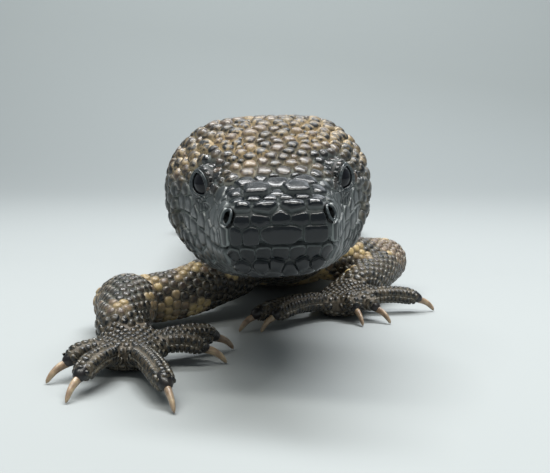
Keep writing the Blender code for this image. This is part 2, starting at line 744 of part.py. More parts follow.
def make_foot(name, key, wrist):
    """A sole with five clawed toes, joined in one piece, flat on the ground."""
    side = LEGS[key][0]
    (x, y), heading, length, width, tips = FEET[key]
    middle = np.array((side * x, y, SOLE_HEIGHT * 0.46))
    angle = math.radians(heading)
    way = np.array((side * math.sin(angle), -math.cos(angle), 0.0))
    across = np.cross(way, (0, 0, 1))
    sole = make_palm(name, middle, way, length, width, wrist)
    pieces = []
    for tip in tips:
        point = np.array((side * tip[0], tip[1]))
        out = unit(point - middle[:2])
        reach = 0.62 / math.hypot(out @ across[:2] / (width / 2), out @ way[:2] / (length / 2))
        start = (middle[0] + out[0] * reach, middle[1] + out[1] * reach, 4.6)
        pieces += make_toe(start, point)
    apply_boolean(sole, "UNION", pieces)
    rest_on_ground(sole)
    return sole


def make_legs(body):
    """All four legs. Each piece is cut clear of the one it grows from."""
    trunk, neck = body[1], body[0]
    for key, (side, upper, lower) in LEGS.items():
        names = LEG_NAMES[key]
        root = limb(names[0], upper, side)
        rest_on_ground(root)
        apply_boolean(root, "DIFFERENCE", [standing_off(trunk), standing_off(neck)])
        middle = limb(names[1], lower, side)
        rest_on_ground(middle)
        apply_boolean(middle, "DIFFERENCE", [standing_off(root), standing_off(trunk)])
        wrist = np.array(lower[-1])
        wrist[0] *= side
        foot = make_foot(names[2], key, wrist)
        apply_boolean(foot, "DIFFERENCE", [standing_off(middle)])


clear_scene()
make_head()
make_legs(make_body())
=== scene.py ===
"""Looks of a life-size Rio Fuerte beaded lizard: skin, bony scutes, snout plates, lids, eyes and claws."""

import math

import bmesh
import bpy
import numpy as np
from mathutils import Matrix, Vector
from mathutils.bvhtree import BVHTree
from mathutils.kdtree import KDTree


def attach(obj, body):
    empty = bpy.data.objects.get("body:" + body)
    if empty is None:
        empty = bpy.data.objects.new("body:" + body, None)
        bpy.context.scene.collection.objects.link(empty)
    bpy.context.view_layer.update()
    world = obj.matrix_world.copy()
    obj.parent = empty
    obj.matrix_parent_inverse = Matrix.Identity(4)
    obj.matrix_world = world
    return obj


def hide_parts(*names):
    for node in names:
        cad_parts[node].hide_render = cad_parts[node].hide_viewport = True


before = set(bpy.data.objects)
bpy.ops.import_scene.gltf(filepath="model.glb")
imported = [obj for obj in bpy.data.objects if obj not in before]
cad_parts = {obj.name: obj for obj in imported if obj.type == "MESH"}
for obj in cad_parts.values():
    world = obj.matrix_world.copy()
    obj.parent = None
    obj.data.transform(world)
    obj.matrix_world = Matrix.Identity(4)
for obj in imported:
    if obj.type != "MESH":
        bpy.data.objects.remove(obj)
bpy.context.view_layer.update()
scene = bpy.context.scene
MM = 0.001

# Camera. It stands about 15 cm before the snout, a little above the head's middle, and looks slightly
# down. So near, the head looks large against the arms, and hides most of the body.
CAMERA_PLACE = (0.0, -363 * MM, 55 * MM)
CAMERA_DOWN = 7.2  # degrees
camera = bpy.data.objects.new("camera", bpy.data.cameras.new("camera"))
camera.data.lens = 50
camera.data.sensor_width = 36
camera.data.clip_start = 0.01
camera.location = CAMERA_PLACE
camera.rotation_euler = (math.radians(90 - CAMERA_DOWN), 0, 0)
scene.collection.objects.link(camera)
scene.camera = camera


# Stage. A pale matt paper sweep that the animal lies on: it runs level under the animal and then
# bends up behind it, so that no edge shows.
def linear(hex_colour):
    """Linear colour of an sRGB hex value such as #c0c4c8."""
    channels = [int(hex_colour[i : i + 2], 16) / 255 for i in (1, 3, 5)]
    return [c / 12.92 if c <= 0.04045 else ((c + 0.055) / 1.055) ** 2.4 for c in channels] + [1.0]


def add_node(tree, kind, links=(), **settings):
    """Adds a node with its settings, and links (its input, another node's output) pairs."""
    node = tree.nodes.new(kind)
    for key, value in settings.items():
        if key.startswith("in_"):
            name = key[3:].replace("_", " ")
            node.inputs[int(name) if name.isdigit() else name].default_value = value
        else:
            setattr(node, key, value)
    for socket, output in links:
        tree.links.new(output, node.inputs[socket])
    return node


def new_material(name, **settings):
    """A Principled material with its settings: the material, its tree and its shader."""
    made = bpy.data.materials.new(name)
    made.use_nodes = True
    shader = made.node_tree.nodes["Principled BSDF"]
    for key, value in settings.items():
        shader.inputs[key.replace("_", " ")].default_value = value
    return made, made.node_tree, shader


def add_object(name, data):
    """Puts an object with a mesh or a lamp into the scene."""
    made = bpy.data.objects.new(name, data)
    scene.collection.objects.link(made)
    return made


def new_mesh_object(name, points, faces):
    """A smooth object from points in metres."""
    mesh = bpy.data.meshes.new(name)
    mesh.from_pydata([tuple(p) for p in points], [], [tuple(f) for f in faces])
    mesh.shade_smooth()
    return add_object(name, mesh)


# uncoated studio paper, which has next to no gloss, so that its bend doesn't show
paper, *_ = new_material("matt_paper", Base_Color=linear("#9ba0a1"), Roughness=0.95, Specular_IOR_Level=0.1)
SWEEP_FRONT, SWEEP_BACK = -1.6, 0.42  # where the level part begins and ends, in metres
SWEEP_BEND = 1.5  # radius of the bend
SWEEP_TOP = 2.4
SWEEP_SIDE = 2.5  # half width
profile = [(SWEEP_FRONT, 0.0), (SWEEP_BACK, 0.0)]
for turn in np.linspace(0.05, math.pi / 2, 24):
    profile.append((SWEEP_BACK + SWEEP_BEND * math.sin(turn), SWEEP_BEND * (1 - math.cos(turn))))
profile.append((SWEEP_BACK + SWEEP_BEND, SWEEP_TOP))
sweep_points = [(x, y, z - 0.2 * MM) for y, z in profile for x in (-SWEEP_SIDE, SWEEP_SIDE)]
sweep_faces = [(2 * i, 2 * i + 1, 2 * i + 3, 2 * i + 2) for i in range(len(profile) - 1)]
sweep = new_mesh_object("paper_sweep", sweep_points, sweep_faces)
sweep.data.materials.append(paper)


# Light. A broad soft box overhead and a little behind, which draws the shine on the tops of the
# scutes, a weaker one in front, and the light of a pale room all round.
def soft_box(name, place, aim, size, watts, colour):
    """A rectangular lamp at a place in metres that faces another."""
    light = add_object(name, bpy.data.lights.new(name, "AREA"))
    light.data.shape = "RECTANGLE"
    light.data.size, light.data.size_y = size
    light.data.energy = watts
    light.data.color = linear(colour)[:3]
    light.location = place
    light.rotation_euler = (Vector(aim) - Vector(place)).to_track_quat("-Z", "Y").to_euler()


soft_box("box_overhead", (0.05, -0.02, 0.62), (0, -0.18, 0.03), (0.7, 0.14), 7.0, "#ffffff")
soft_box("box_before", (-0.04, -0.36, 0.52), (0, -0.2, 0.03), (0.7, 0.07), 2.6, "#fffdf6")
soft_box("box_back", (0.3, 0.7, 0.62), (0, 0.1, 0.03), (1.0, 0.3), 1.6, "#f4f8ff")
soft_box("box_wall", (0.0, 0.25, 1.4), (0.3, 1.75, 1.1), (2.0, 0.5), 41.0, "#f8fbfa")
room = bpy.data.worlds.new("room")
scene.world = room
room.use_nodes = True
room.node_tree.nodes["Background"].inputs["Color"].default_value = linear("#d3dadd")
room.node_tree.nodes["Background"].inputs["Strength"].default_value = 0.41
scene.view_settings.view_transform = "Standard"


# Skin. Thin leathery hide that shows between the scutes: one closed surface over the whole animal.
# It is lofted from the animal's own sections, a little inside the scutes' tops, and fused.
# Its sizes are in millimetres, and the head's are in the head's own directions: side, back and up.
HIDE_DEPTH = 0.9  # the hide lies this far under the scutes' mean surface
MOUTH_FRONT = np.array((1.2, -215.0, 34.2))  # the middle of the upper lip, in the world
HEAD_YAW, HEAD_NOD, HEAD_TILT = 3.3, 5.5, 2.4  # degrees
HEAD_AXIS = 3.0  # height of the middle of its sections over the lip
HEAD_LENGTH = 62.0
NOSE_DEPTH = 6.0  # over this length the end of the snout rounds off
NOSE_SHAPE, NOSE_SQUARE = 3.0, 4.4  # how squarely it does so, in height and in width
CHIN_SETBACK = 2.2
TRUNK_START, VENT, TOTAL_LENGTH = 110.0, 338.0, 568.0  # from the snout, along the middle
TAIL_END = 9.0  # length of the tail's round tip
NECK_PULL = 51.0  # how far head and trunk lead the neck's bend
# sections: from the snout, half width, top, bottom, and squareness of the upper and the lower half
HEAD_FORM = (
    (6, 12.3, 9.4, -8.4, 3.6, 3.4), (12, 13.7, 11.2, -9.8, 3.3, 3.4), (20, 16.0, 14.3, -12.0, 2.9, 3.2),
    (28, 19.6, 17.6, -14.2, 2.6, 2.9), (36, 22.6, 20.0, -16.0, 2.5, 2.4),
    (46, 25.2, 21.5, -17.4, 2.5, 2.1), (54, 25.4, 21.2, -17.4, 2.4, 2.1),
    (62, 23.6, 20.3, -15.8, 2.3, 2.4),
)
# swells and hollows: back, side, up, reach along, reach across, height
FACE_FORM = (
    (25.0, 13.0, 17.0, 7.0, 3.6, 1.3),  # brow
    (15.0, 13.5, 7.5, 5.0, 3.5, -0.9),  # hollow before the eye
    (5.5, 10.0, 6.0, 3.0, 3.0, 0.5),  # swell round the nostril
    (30.0, 18.5, 4.0, 6.0, 2.5, -0.5),  # fold under the eye
    (49.0, 25.0, -3.0, 8.0, 6.0, 0.3),  # jowl
    (46.0, 14.0, 20.0, 8.0, 6.0, 0.8),  # muscle behind the brow
    (34.0, 22.5, -1.0, 4.5, 2.2, -1.1),  # hollow at the corner of the mouth
    (4.0, 3.5, 9.6, 1.8, 3.6, -0.7),  # shelf on the end of the snout
    (20.0, 15.2, 4.9, 4.5, 0.8, -0.6),  # groove under the eye
)
MOUTH_LINE = (  # back, up
    (-8, 0.0), (3, -0.1), (9, -1.7), (14, -2.0), (20, -0.7),
    (27, 1.6), (33, 2.0), (40, 1.0), (50, -1.5), (70, -3.0),
)
MOUTH_CORNER = 41.0
# sections: from the snout, half width, reach up, reach down, squareness of both halves
BODY_FORM = (
    (62, 23.6, 17.3, 18.8, 2.3, 2.4), (75, 21.6, 16.6, 18.6, 2.3, 2.4), (92, 22.2, 16.6, 20.0, 2.2, 2.4),
    (110, 25.5, 17.6, 21.5, 2.2, 2.4), (140, 31.0, 20.6, 24.0, 2.2, 2.5),
    (180, 36.5, 23.6, 24.0, 2.2, 2.6), (220, 38.5, 24.8, 24.0, 2.2, 2.6),
    (260, 37.2, 24.2, 24.0, 2.2, 2.6), (300, 31.0, 21.6, 23.0, 2.2, 2.5),
    (330, 23.0, 18.4, 20.0, 2.1, 2.3), (350, 18.6, 16.6, 17.6, 2.0, 2.1),
    (390, 15.4, 14.4, 15.0, 2.0, 2.0), (440, 13.0, 12.3, 12.8, 2.0, 2.0),
    (500, 10.6, 10.0, 10.5, 2.0, 2.0), (545, 8.4, 7.9, 8.3, 2.0, 2.0), (568, 7.2, 6.8, 7.1, 2.0, 2.0),
)
SPINE_START = (-2.0, -105.0)
# the spine's course: from the snout, heading in degrees to the left, height
SPINE = (
    (110, 3.0, 27.0), (140, 2.5, 23.2), (180, 1.0, 21.4), (220, -1.5, 21.0), (260, -4.0, 21.0),
    (300, -6.0, 20.2), (330, -6.5, 18.2), (350, -4.0, 16.6), (390, 4.0, 14.4), (440, 12.0, 12.4),
    (500, 22.0, 10.2), (568, 32.0, 6.8),
)


def track(knots, at):
    """Values of a table at a distance, on a smooth curve through its rows."""
    table = np.array(knots, float)
    where, values = table[:, 0], table[:, 1:]
    slope = np.gradient(values, where, axis=0)
    at = np.atleast_1d(np.asarray(at, float))
    i = np.clip(np.searchsorted(where, at, "right") - 1, 0, len(where) - 2)
    step = (where[i + 1] - where[i])[:, None]
    u = np.clip((at[:, None] - where[i][:, None]) / step, 0.0, 1.0)
    rise = values[i + 1] - values[i]
    return (
        values[i]
        + (3 * u**2 - 2 * u**3) * rise
        + (u**3 - 2 * u**2 + u) * step * slope[i]
        + (u**3 - u**2) * step * slope[i + 1]
    )


def turns_of(count):
    """Angles in even steps round a ring."""
    return 2 * math.pi * np.arange(count) / count


def way_along(line):
    """How far along a line each of its points lies."""
    return np.concatenate(([0], np.cumsum(np.linalg.norm(np.diff(line, axis=0), axis=1))))


def unit(v):
    v = np.asarray(v, float)
    length = np.linalg.norm(v, axis=-1, keepdims=True)
    return v / np.where(length > 0, length, 1)


def section(centre, side, up, shape, angles, inset=0.0):
    """Points round one section. shape: half width, reach up, reach down, squareness above and below."""
    width, over, under, above, below = shape
    width, over, under = (max(r - inset, 0.05 * r) for r in (width, over, under))
    c, s = np.cos(angles), np.sin(angles)
    power = np.where(s >= 0, 2.0 / above, 2.0 / below)
    x = width * np.sign(c) * np.abs(c) ** power
    z = np.where(s >= 0, over, under) * np.sign(s) * np.abs(s) ** power
    return centre + np.outer(x, side) + np.outer(z, up)


head_turn = (
    Matrix.Rotation(math.radians(HEAD_YAW), 3, "Z")
    @ Matrix.Rotation(math.radians(HEAD_NOD), 3, "X")
    @ Matrix.Rotation(math.radians(-HEAD_TILT), 3, "Y")
)
HEAD_AXES = np.array([head_turn @ Vector(axis) for axis in ((1, 0, 0), (0, 1, 0), (0, 0, 1))])


def to_world(local):
    """Points given in the head's own directions (side, back, up), in the world."""
    return np.asarray(local) @ HEAD_AXES + MOUTH_FRONT


def to_head(world):
    return (np.asarray(world) - MOUTH_FRONT) @ HEAD_AXES.T


def head_ring(back, angles, inset=0.0):
    """One ring of the head, in its own directions."""
    width, crown, throat, above, below = track(HEAD_FORM, max(back, NOSE_DEPTH))[0]
    nose = broad = 1.0
    if back < NOSE_DEPTH:
        ahead = (NOSE_DEPTH - back) / NOSE_DEPTH
        nose = (1 - ahead**NOSE_SHAPE) ** (1 / NOSE_SHAPE)
        broad = (1 - ahead**NOSE_SQUARE) ** (1 / NOSE_SQUARE)
    shape = ((width - inset) * broad, (crown - HEAD_AXIS - inset) * nose, (HEAD_AXIS - throat - inset) * nose)
    centre = np.array((0.0, back + inset * np.clip(1 - back / NOSE_DEPTH, 0, 1), HEAD_AXIS))
    ring = section(centre, np.array((1.0, 0, 0)), np.array((0, 0, 1.0)), (*shape, above, below), angles)
    below_lip = np.clip(-ring[:, 2] / 3.0, 0, 1) * np.clip(1 - back / 18.0, 0, 1)
    ring[:, 1] += CHIN_SETBACK * below_lip
    return ring


def face_rise(points):
    """How far the face's swells and hollows lift each point of the head."""
    rise = np.zeros(points.shape[:-1])
    for back, side, up, along, across, height in FACE_FORM:
        away = ((points[..., 1] - back) / along) ** 2
        spread = ((np.abs(points[..., 0]) - side) ** 2 + (points[..., 2] - up) ** 2) / across**2
        rise += height * np.exp(-away - spread)
    return rise


def grid_normals(rings):
    """Outward directions at the points of a stack of closed rings."""
    along = np.gradient(rings, axis=0)
    around = np.roll(rings, -1, axis=1) - np.roll(rings, 1, axis=1)
    normal = unit(np.cross(along, around))
    outwards = rings - rings.mean(axis=1, keepdims=True)
    sign = np.sign((normal * outwards).sum(axis=(1, 2)))
    return normal * np.where(sign == 0, 1, sign)[:, None, None]


def spine_table():
    """The spine at each millimetre: how far from the snout, and its place."""
    stops = np.arange(TRUNK_START, TOTAL_LENGTH + 0.5, 1.0)
    values = track(SPINE, stops)
    heading = np.radians(values[:, 0])
    x = SPINE_START[0] + np.concatenate(([0], np.cumsum(np.sin(heading))[:-1]))
    y = SPINE_START[1] + np.concatenate(([0], np.cumsum(np.cos(heading))[:-1]))
    return np.column_stack((stops, x, y, values[:, 1]))


spine = spine_table()


def body_ring(stop, angles, inset=0.0):
    """One ring of the neck, trunk or tail, at a distance from the snout."""
    shape = track(BODY_FORM, stop)[0]
    if stop < TRUNK_START:
        u = (stop - HEAD_LENGTH) / (TRUNK_START - HEAD_LENGTH)
        start = to_world((0, HEAD_LENGTH, HEAD_AXIS))
        end, end_way = spine[0, 1:], unit(spine[2, 1:] - spine[0, 1:])
        basis = (2 * u**3 - 3 * u**2 + 1, u**3 - 2 * u**2 + u, 3 * u**2 - 2 * u**3, u**3 - u**2)
        slope = (6 * u**2 - 6 * u, 3 * u**2 - 4 * u + 1, 6 * u - 6 * u**2, 3 * u**2 - 2 * u)
        parts = (start, HEAD_AXES[1] * NECK_PULL, end, end_way * NECK_PULL)
        centre = sum(b * p for b, p in zip(basis, parts))
        way = unit(sum(b * p for b, p in zip(slope, parts)))
        level = unit(np.cross(way, (0, 0, 1)))
        side = unit((1 - u) * HEAD_AXES[0] + u * level)
        side = unit(side - way * side.dot(way))
    else:
        centre, ahead, behind = (
            np.array([np.interp(stop + d, spine[:, 0], spine[:, k]) for k in (1, 2, 3)])
            for d in (0, 1.5, -1.5)
        )
        way = unit(ahead - behind)
        side = unit(np.cross(way, (0, 0, 1)))
    up = np.cross(side, way)
    left = TOTAL_LENGTH - stop
    if left < TAIL_END:
        end = math.sqrt(max(1 - ((TAIL_END - left) / TAIL_END) ** 2, 0.0))
        shape = shape * np.array((end, end, end, 1, 1))
        inset = inset * end
    ring = section(centre, side, up, shape, angles, inset)
    ring[:, 2] = np.maximum(ring[:, 2], 0.15)
    return ring


# each leg: its side, then shoulder, middle and elbow, and elbow, middle and wrist: side, y, height, radius
LEGS = {
    "front_right": (
        -1,
        ((13, -118, 13, 9.0), (30, -136, 8.8, 7.9), (45.5, -144, 7.9, 7.4)),
        ((45.5, -144, 7.9, 7.3), (40.5, -156, 10.2, 8.6), (40, -172, 8.0, 6.4)),
    ),
    "front_left": (
        1,
        ((13, -104, 17, 9.0), (27, -97, 13.2, 8.6), (39.6, -87, 11.2, 8.6)),
        ((39.6, -87, 11.2, 8.4), (35, -101, 9.8, 7.4), (28, -114, 8.2, 6.3)),
    ),
    "hind_right": (
        -1,
        ((15, 100, 17, 10.4), (33, 92, 15, 10.2), (47, 82, 12.0, 9.0)),
        ((47, 82, 12.0, 8.8), (46.5, 101, 10.4, 8.2), (45, 117, 8.2, 6.4)),
    ),
    "hind_left": (
        1,
        ((2, 98, 17, 10.4), (24, 84, 15, 10.2), (39, 70, 12.2, 9.0)),
        ((39, 70, 12.2, 8.8), (40.5, 89, 10.6, 8.2), (40, 104, 8.2, 6.4)),
    ),
}
# each foot: its middle, heading in degrees, length, width, and its claws' points
FEET = {
    "front_right": (
        (35.5, -181.0), -5.0, 20.0, 18.0,
        ((11, -166), (12, -179), (20.4, -214), (44, -208), (52, -195)),
    ),
    "front_left": (
        (21.0, -125.0), 0.0, 19.0, 17.0,
        ((-10.3, -148), (-4, -148.5), (26.2, -141), (34.8, -138), (51.5, -120)),
    ),
    "hind_right": (
        (47.0, 126.0), 160.0, 22.0, 17.0,
        ((38, 150), (45, 154), (53, 153), (60, 147), (63, 131)),
    ),
    "hind_left": (
        (41.0, 113.0), 165.0, 22.0, 17.0,
        ((32, 137), (39, 141), (46, 140), (52, 135), (54, 119)),
    ),
}
TOE_RADIUS = 2.4
TOE_ARCH = 2.6  # how far a toe rises in its middle
TOE_END = 4.3  # height of the last joint
CLAW_RUN = 5.6  # how far the claw reaches past it
SOLE_HEIGHT = 9.0  # thickness of the palm


def tube(line, widths, heights, count, inset=0.0, power=2.0):
    """Rings round a bent line. Each is upright and square to the line."""
    line = np.asarray(line, float)
    ways = unit(np.gradient(line, axis=0))
    rings = []
    for point, way, wide, high in zip(line, ways, widths, heights):
        across = unit(np.cross(way, (0, 0, 1)))
        up = np.cross(across, way)
        rings.append(section(point, across, up, (wide, high, high, power, power), turns_of(count), inset))
    return np.array(rings)


def limb_line(joints, side, step=1.2):
    """Centres and radii along part of a leg, with rounded ends."""
    joints = np.array([(side * x, y, z, r) for x, y, z, r in joints])
    far = way_along(joints[:, :3])
    stops = np.linspace(0, far[-1], int(far[-1] / step))
    values = track(np.column_stack((far, joints)), stops)
    line, radii = values[:, :3], values[:, 3]
    ways = unit(np.gradient(line, axis=0))
    shares = np.array((0.25, 0.5, 0.72, 0.88, 0.97))
    start = [line[0] - ways[0] * radii[0] * q for q in shares[::-1]]
    end = [line[-1] + ways[-1] * radii[-1] * q for q in shares]
    cap = np.sqrt(1 - shares**2)
    return (
        np.vstack((start, line, end)),
        np.concatenate((radii[0] * cap[::-1], radii, radii[-1] * cap)),
    )


def palm_line(key):
    """The flattened tube from the wrist to the roots of the toes: line, half widths, half heights."""
    side, _, lower = LEGS[key]
    (x, y), heading, length, width, _ = FEET[key]
    middle = np.array((side * x, y, SOLE_HEIGHT * 0.46))
    angle = math.radians(heading)
    way = np.array((side * math.sin(angle), -math.cos(angle), 0.0))
    wrist = np.array((side * lower[-1][0], lower[-1][1], lower[-1][2] - 0.4))
    front = middle + way * length * 0.5
    knuckles = middle + way * length * 0.28
    heel = (middle * 0.75 + wrist * 0.25) - way * length * 0.12
    before_wrist, past_wrist = wrist * 1.1 - heel * 0.1, wrist * 0.8 + heel * 0.2
    line = np.array([before_wrist, past_wrist, heel, middle, knuckles, front - way * 1.2])
    widths = np.array((4.2, 6.2, width * 0.43, width * 0.5, width * 0.47, width * 0.3))
    heights = np.array((4.2, 5.8, 5.4, SOLE_HEIGHT * 0.5, SOLE_HEIGHT * 0.44, SOLE_HEIGHT * 0.28))
    knots = np.column_stack((np.arange(6), line, widths, heights))
    fine = track(knots, np.linspace(0, 5, 22))
    return fine[:, :3], fine[:, 3], fine[:, 4], middle, way


def toe_lines(key):
    """For each toe: its line, radii, claw root, claw point and direction."""
    side = LEGS[key][0]
    _, heading, length, width, tips = FEET[key]
    _, _, _, middle, way = palm_line(key)
    across = np.cross(way, (0, 0, 1))
    toes = []
    for tip in tips:
        point = np.array((side * tip[0], tip[1]))
        out = unit(point - middle[:2])
        reach = 0.62 / math.hypot(out @ across[:2] / (width / 2), out @ way[:2] / (length / 2))
        start = middle[:2] + out * reach
        ahead = np.append(unit(point - start), 0.0)
        run = math.hypot(*(point - start)) - CLAW_RUN
        u = np.linspace(0, 1, 16)
        height = 4.6 * (1 - u) + TOE_END * u + TOE_ARCH * 2.4 * u * (1 - u)
        line = np.column_stack((start[0] + ahead[0] * run * u, start[1] + ahead[1] * run * u, height))
        radii = TOE_RADIUS * np.interp(u, (0, 0.3, 0.8, 0.93, 1.0), (1.08, 1.05, 1.06, 1.0, 0.86))
        toes.append((line, radii, line[-1], np.array((point[0], point[1], 0.15)), ahead))
    return toes


def face_outwards(mesh):
    """Turns the faces of closed shells outwards."""
    work = bmesh.new()
    work.from_mesh(mesh)
    bmesh.ops.recalc_face_normals(work, faces=work.faces[:])
    work.to_mesh(mesh)
    work.free()


def grid_faces(rows, count):
    """The corners of each face of a stack of closed rings, as numbers of its points."""
    i, j = np.meshgrid(np.arange(rows - 1), np.arange(count), indexing="ij")
    a, b = i * count + j, i * count + (j + 1) % count
    return np.stack((a, b, b + count, a + count), axis=-1).reshape(-1, 4)


def closed_loft(name, rings):
    """An object from a stack of rings in millimetres, closed by a fan at each end."""
    rows, count = rings.shape[:2]
    points = np.vstack((rings.reshape(-1, 3), rings[0].mean(axis=0), rings[-1].mean(axis=0)))
    faces = grid_faces(rows, count).tolist()
    first, last = rows * count, rows * count + 1
    faces += [(first, (k + 1) % count, k) for k in range(count)]
    faces += [(last, (rows - 1) * count + k, (rows - 1) * count + (k + 1) % count) for k in range(count)]
    made = new_mesh_object(name, points * MM, faces)
    face_outwards(made.data)
    return made


def join_objects(name, pieces):
    """One object from several."""
    work = bmesh.new()
    for piece in pieces:
        work.from_mesh(piece.data)
    mesh = bpy.data.meshes.new(name)
    work.to_mesh(mesh)
    work.free()
    for piece in pieces:
        bpy.data.objects.remove(piece, do_unlink=True)
    return add_object(name, mesh)


def dress(piece, finish):
    """Gives a piece its material and hands it over as a part of the still body."""
    piece.data.shade_smooth()
    piece.data.materials.append(finish)
    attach(piece, "root")


def apply_modifiers(piece):
    """Replaces an object's mesh by the result of its modifiers."""
    bpy.context.view_layer.update()
    graph = bpy.context.evaluated_depsgraph_get()
    mesh = bpy.data.meshes.new_from_object(piece.evaluated_get(graph))
    piece.modifiers.clear()
    piece.data = mesh


# Sockets of the eyes and the nostrils, in the head's own directions
EYE = np.array((14.2, 25.0, 9.4))
EYE_RADIUS = 3.5
EYE_FORWARD = 40.0  # degrees from straight sideways
EYE_LEAN = 54.0  # degrees, by which the top of the opening leans back
LID_RADIUS = EYE_RADIUS + 0.6
NOSTRIL = np.array((10.5, 2.3, 6.2))


def eye_axes(side):
    """Across, up and out of one eye's opening, in the head's own directions."""
    forward = math.radians(EYE_FORWARD)
    out = unit((side * math.cos(forward), -math.sin(forward), 0.12))
    lean = math.radians(EYE_LEAN)
    up = unit(np.array((0, math.sin(lean), math.cos(lean))) - out * out[2])
    up = unit(up - out * up.dot(out))
    return np.cross(up, out), up, out


PIT_REACH = (1.35, 1.4, 1.95)  # half sizes of a nostril
PIT_DEPTH, LID_DEPTH = 4.0, 2.6  # how deep a nostril and the hide behind the lids lie
LIP_DEPTH, LIP_WIDTH = 1.4, 0.75  # the groove between the lips
OPENING = (2.2, 3.0)  # half width and half height of the lids' opening
LID_REACH = (2.9, 3.6)  # the same to the outside of the lids' outer folds


def head_loft(inset, rows, count):
    """Rings of the head with swells and eye bulges, in its own directions."""
    angles = turns_of(count)
    front = NOSE_DEPTH * (1 - (1 - np.linspace(0.06, 0.97, 22) ** NOSE_SHAPE) ** (1 / NOSE_SHAPE))
    stops = np.concatenate((front, np.linspace(NOSE_DEPTH, HEAD_LENGTH + 1.5, rows)))
    rings = np.array([head_ring(t, angles, inset) for t in stops])
    normals = grid_normals(rings)
    rings = rings + normals * face_rise(rings)[..., None]
    for side in (1, -1):
        centre = EYE * (side, 1, 1)
        away = rings - centre
        far = np.linalg.norm(away, axis=-1)
        push = np.clip(LID_RADIUS - far, 0, None)
        rings = rings + unit(away) * push[..., None]
    return rings, grid_normals(rings)


def groove_and_pits(rings, normals):
    """Sinks the mouth line, the nostrils and the lids' openings into the rings of the head."""
    line = track(MOUTH_LINE, rings[..., 1].ravel())[:, 0].reshape(rings.shape[:-1])
    off = np.abs(rings[..., 2] - line)
    fade = np.clip((MOUTH_CORNER - rings[..., 1]) / 3.0, 0, 1)
    depth = LIP_DEPTH * np.exp(-((off / LIP_WIDTH) ** 2)) * fade
    for side in (1, -1):
        away = rings - NOSTRIL * (side, 1, 1)
        spread = np.linalg.norm(away / PIT_REACH, axis=-1)
        depth = np.maximum(depth, PIT_DEPTH * np.clip(1.1 - spread, 0, 1) ** 0.5)
        across, up, out = eye_axes(side)
        away = rings - EYE * (side, 1, 1)
        forward = away @ out
        spread = np.hypot((away @ across) / OPENING[0], (away @ up) / OPENING[1])
        depth = np.where((spread < 1.1) & (forward > 0), LID_DEPTH, depth)
    return rings - normals * depth[..., None]


skin_parts = []
angles = turns_of(96)
tip_stops = TOTAL_LENGTH - TAIL_END * (1 - np.sin(np.linspace(0, 1.5, 9)))
stops = np.concatenate((np.arange(HEAD_LENGTH - 5, TOTAL_LENGTH - TAIL_END, 1.6), tip_stops))
skin_parts.append(closed_loft("body_core", np.array([body_ring(s, angles, HIDE_DEPTH) for s in stops])))
for key, (side, upper, lower) in LEGS.items():
    for joints in (upper, lower):
        line, radii = limb_line(joints, side)
        skin_parts.append(closed_loft("limb_core", tube(line, radii, radii, 28, HIDE_DEPTH)))
    line, widths, heights, _, _ = palm_line(key)
    skin_parts.append(closed_loft("palm_core", tube(line, widths, heights, 28, 0.6, 2.2)))
    for toe in toe_lines(key):
        skin_parts.append(closed_loft("toe_core", tube(toe[0], toe[1], toe[1], 16, 0.05)))
hide = join_objects("hide", skin_parts)
fuse = hide.modifiers.new("fuse", "REMESH")
fuse.mode, fuse.voxel_size = "VOXEL", 1.25 * MM
ease = hide.modifiers.new("ease", "SMOOTH")
ease.factor, ease.iterations = 0.5, 4
apply_modifiers(hide)
for vertex in hide.data.vertices:
    vertex.co.z = max(vertex.co.z, 0.1 * MM)

head_rings, head_normals = head_loft(HIDE_DEPTH, 118, 192)
head_core = closed_loft("head_core", to_world(groove_and_pits(head_rings, head_normals)))
skin = join_objects("skin", [hide, head_core])


def cloud(points, size, seed):
    """Smooth random values from 0 to 1 at points in millimetres, in blobs about that size."""
    cell = np.asarray(points, float) / size + 100.0
    low = np.floor(cell).astype(np.int64)
    t = cell - low
    t = t * t * (3 - 2 * t)
    total = np.zeros(len(cell))
    for corner in range(8):
        step = np.array((corner & 1, corner >> 1 & 1, corner >> 2 & 1))
        at = low + step
        mixed = at[:, 0] * 73856093 ^ at[:, 1] * 19349663 ^ at[:, 2] * 83492791 ^ seed * 2654435
        value = (mixed * 1103515245 + 12345 >> 8 & 0xFFFF) / 65535.0
        share = np.where(step, t, 1 - t).prod(axis=1)
        total += value * share
    return total


def smoothstep(low, high, x):
    """A smooth rise from 0 at low to 1 at high, or a fall where high is the smaller."""
    t = np.clip((x - low) / (high - low), 0, 1)
    return t * t * (3 - 2 * t)


# yellow spots of the arms: place in the world, radius, strength
YELLOW_SPOTS = (
    (-24.0, -136.5, 15.5, 6.0, 1.0), (-35.4, -143.0, 14.3, 3.0, 1.0), (-33.4, -161.9, 13.3, 2.4, 0.9),
    (-32.7, -162.5, 10.7, 2.6, 0.8), (-39.4, -174.0, 13.3, 3.4, 0.9), (-30.4, -144.5, 8.2, 3.2, 0.7),
    (28.3, -103.8, 18.5, 3.6, 1.0), (30.9, -104.7, 15.8, 2.8, 0.8), (40.0, -92.0, 16.0, 8.0, 0.4),
)


def dark_and_shaded_feet(points):
    """Whether points belong to a hand or foot, which are painted darker: partly their own colour, partly
    painted shade like the head's shadow on the left hand.
    """
    share = np.zeros(len(points))
    for key in LEGS:
        *_, middle, way = palm_line(key)
        away = points - middle
        past_wrist = smoothstep(-13, -8, away @ way)
        near_foot = smoothstep(46, 40, np.hypot(away[:, 0], away[:, 1])) * smoothstep(14, 10.5, points[:, 2])
        share = np.maximum(share, past_wrist * near_foot)
    return share


BAND_STEP = 56.0  # from one yellow band of trunk and tail to the next


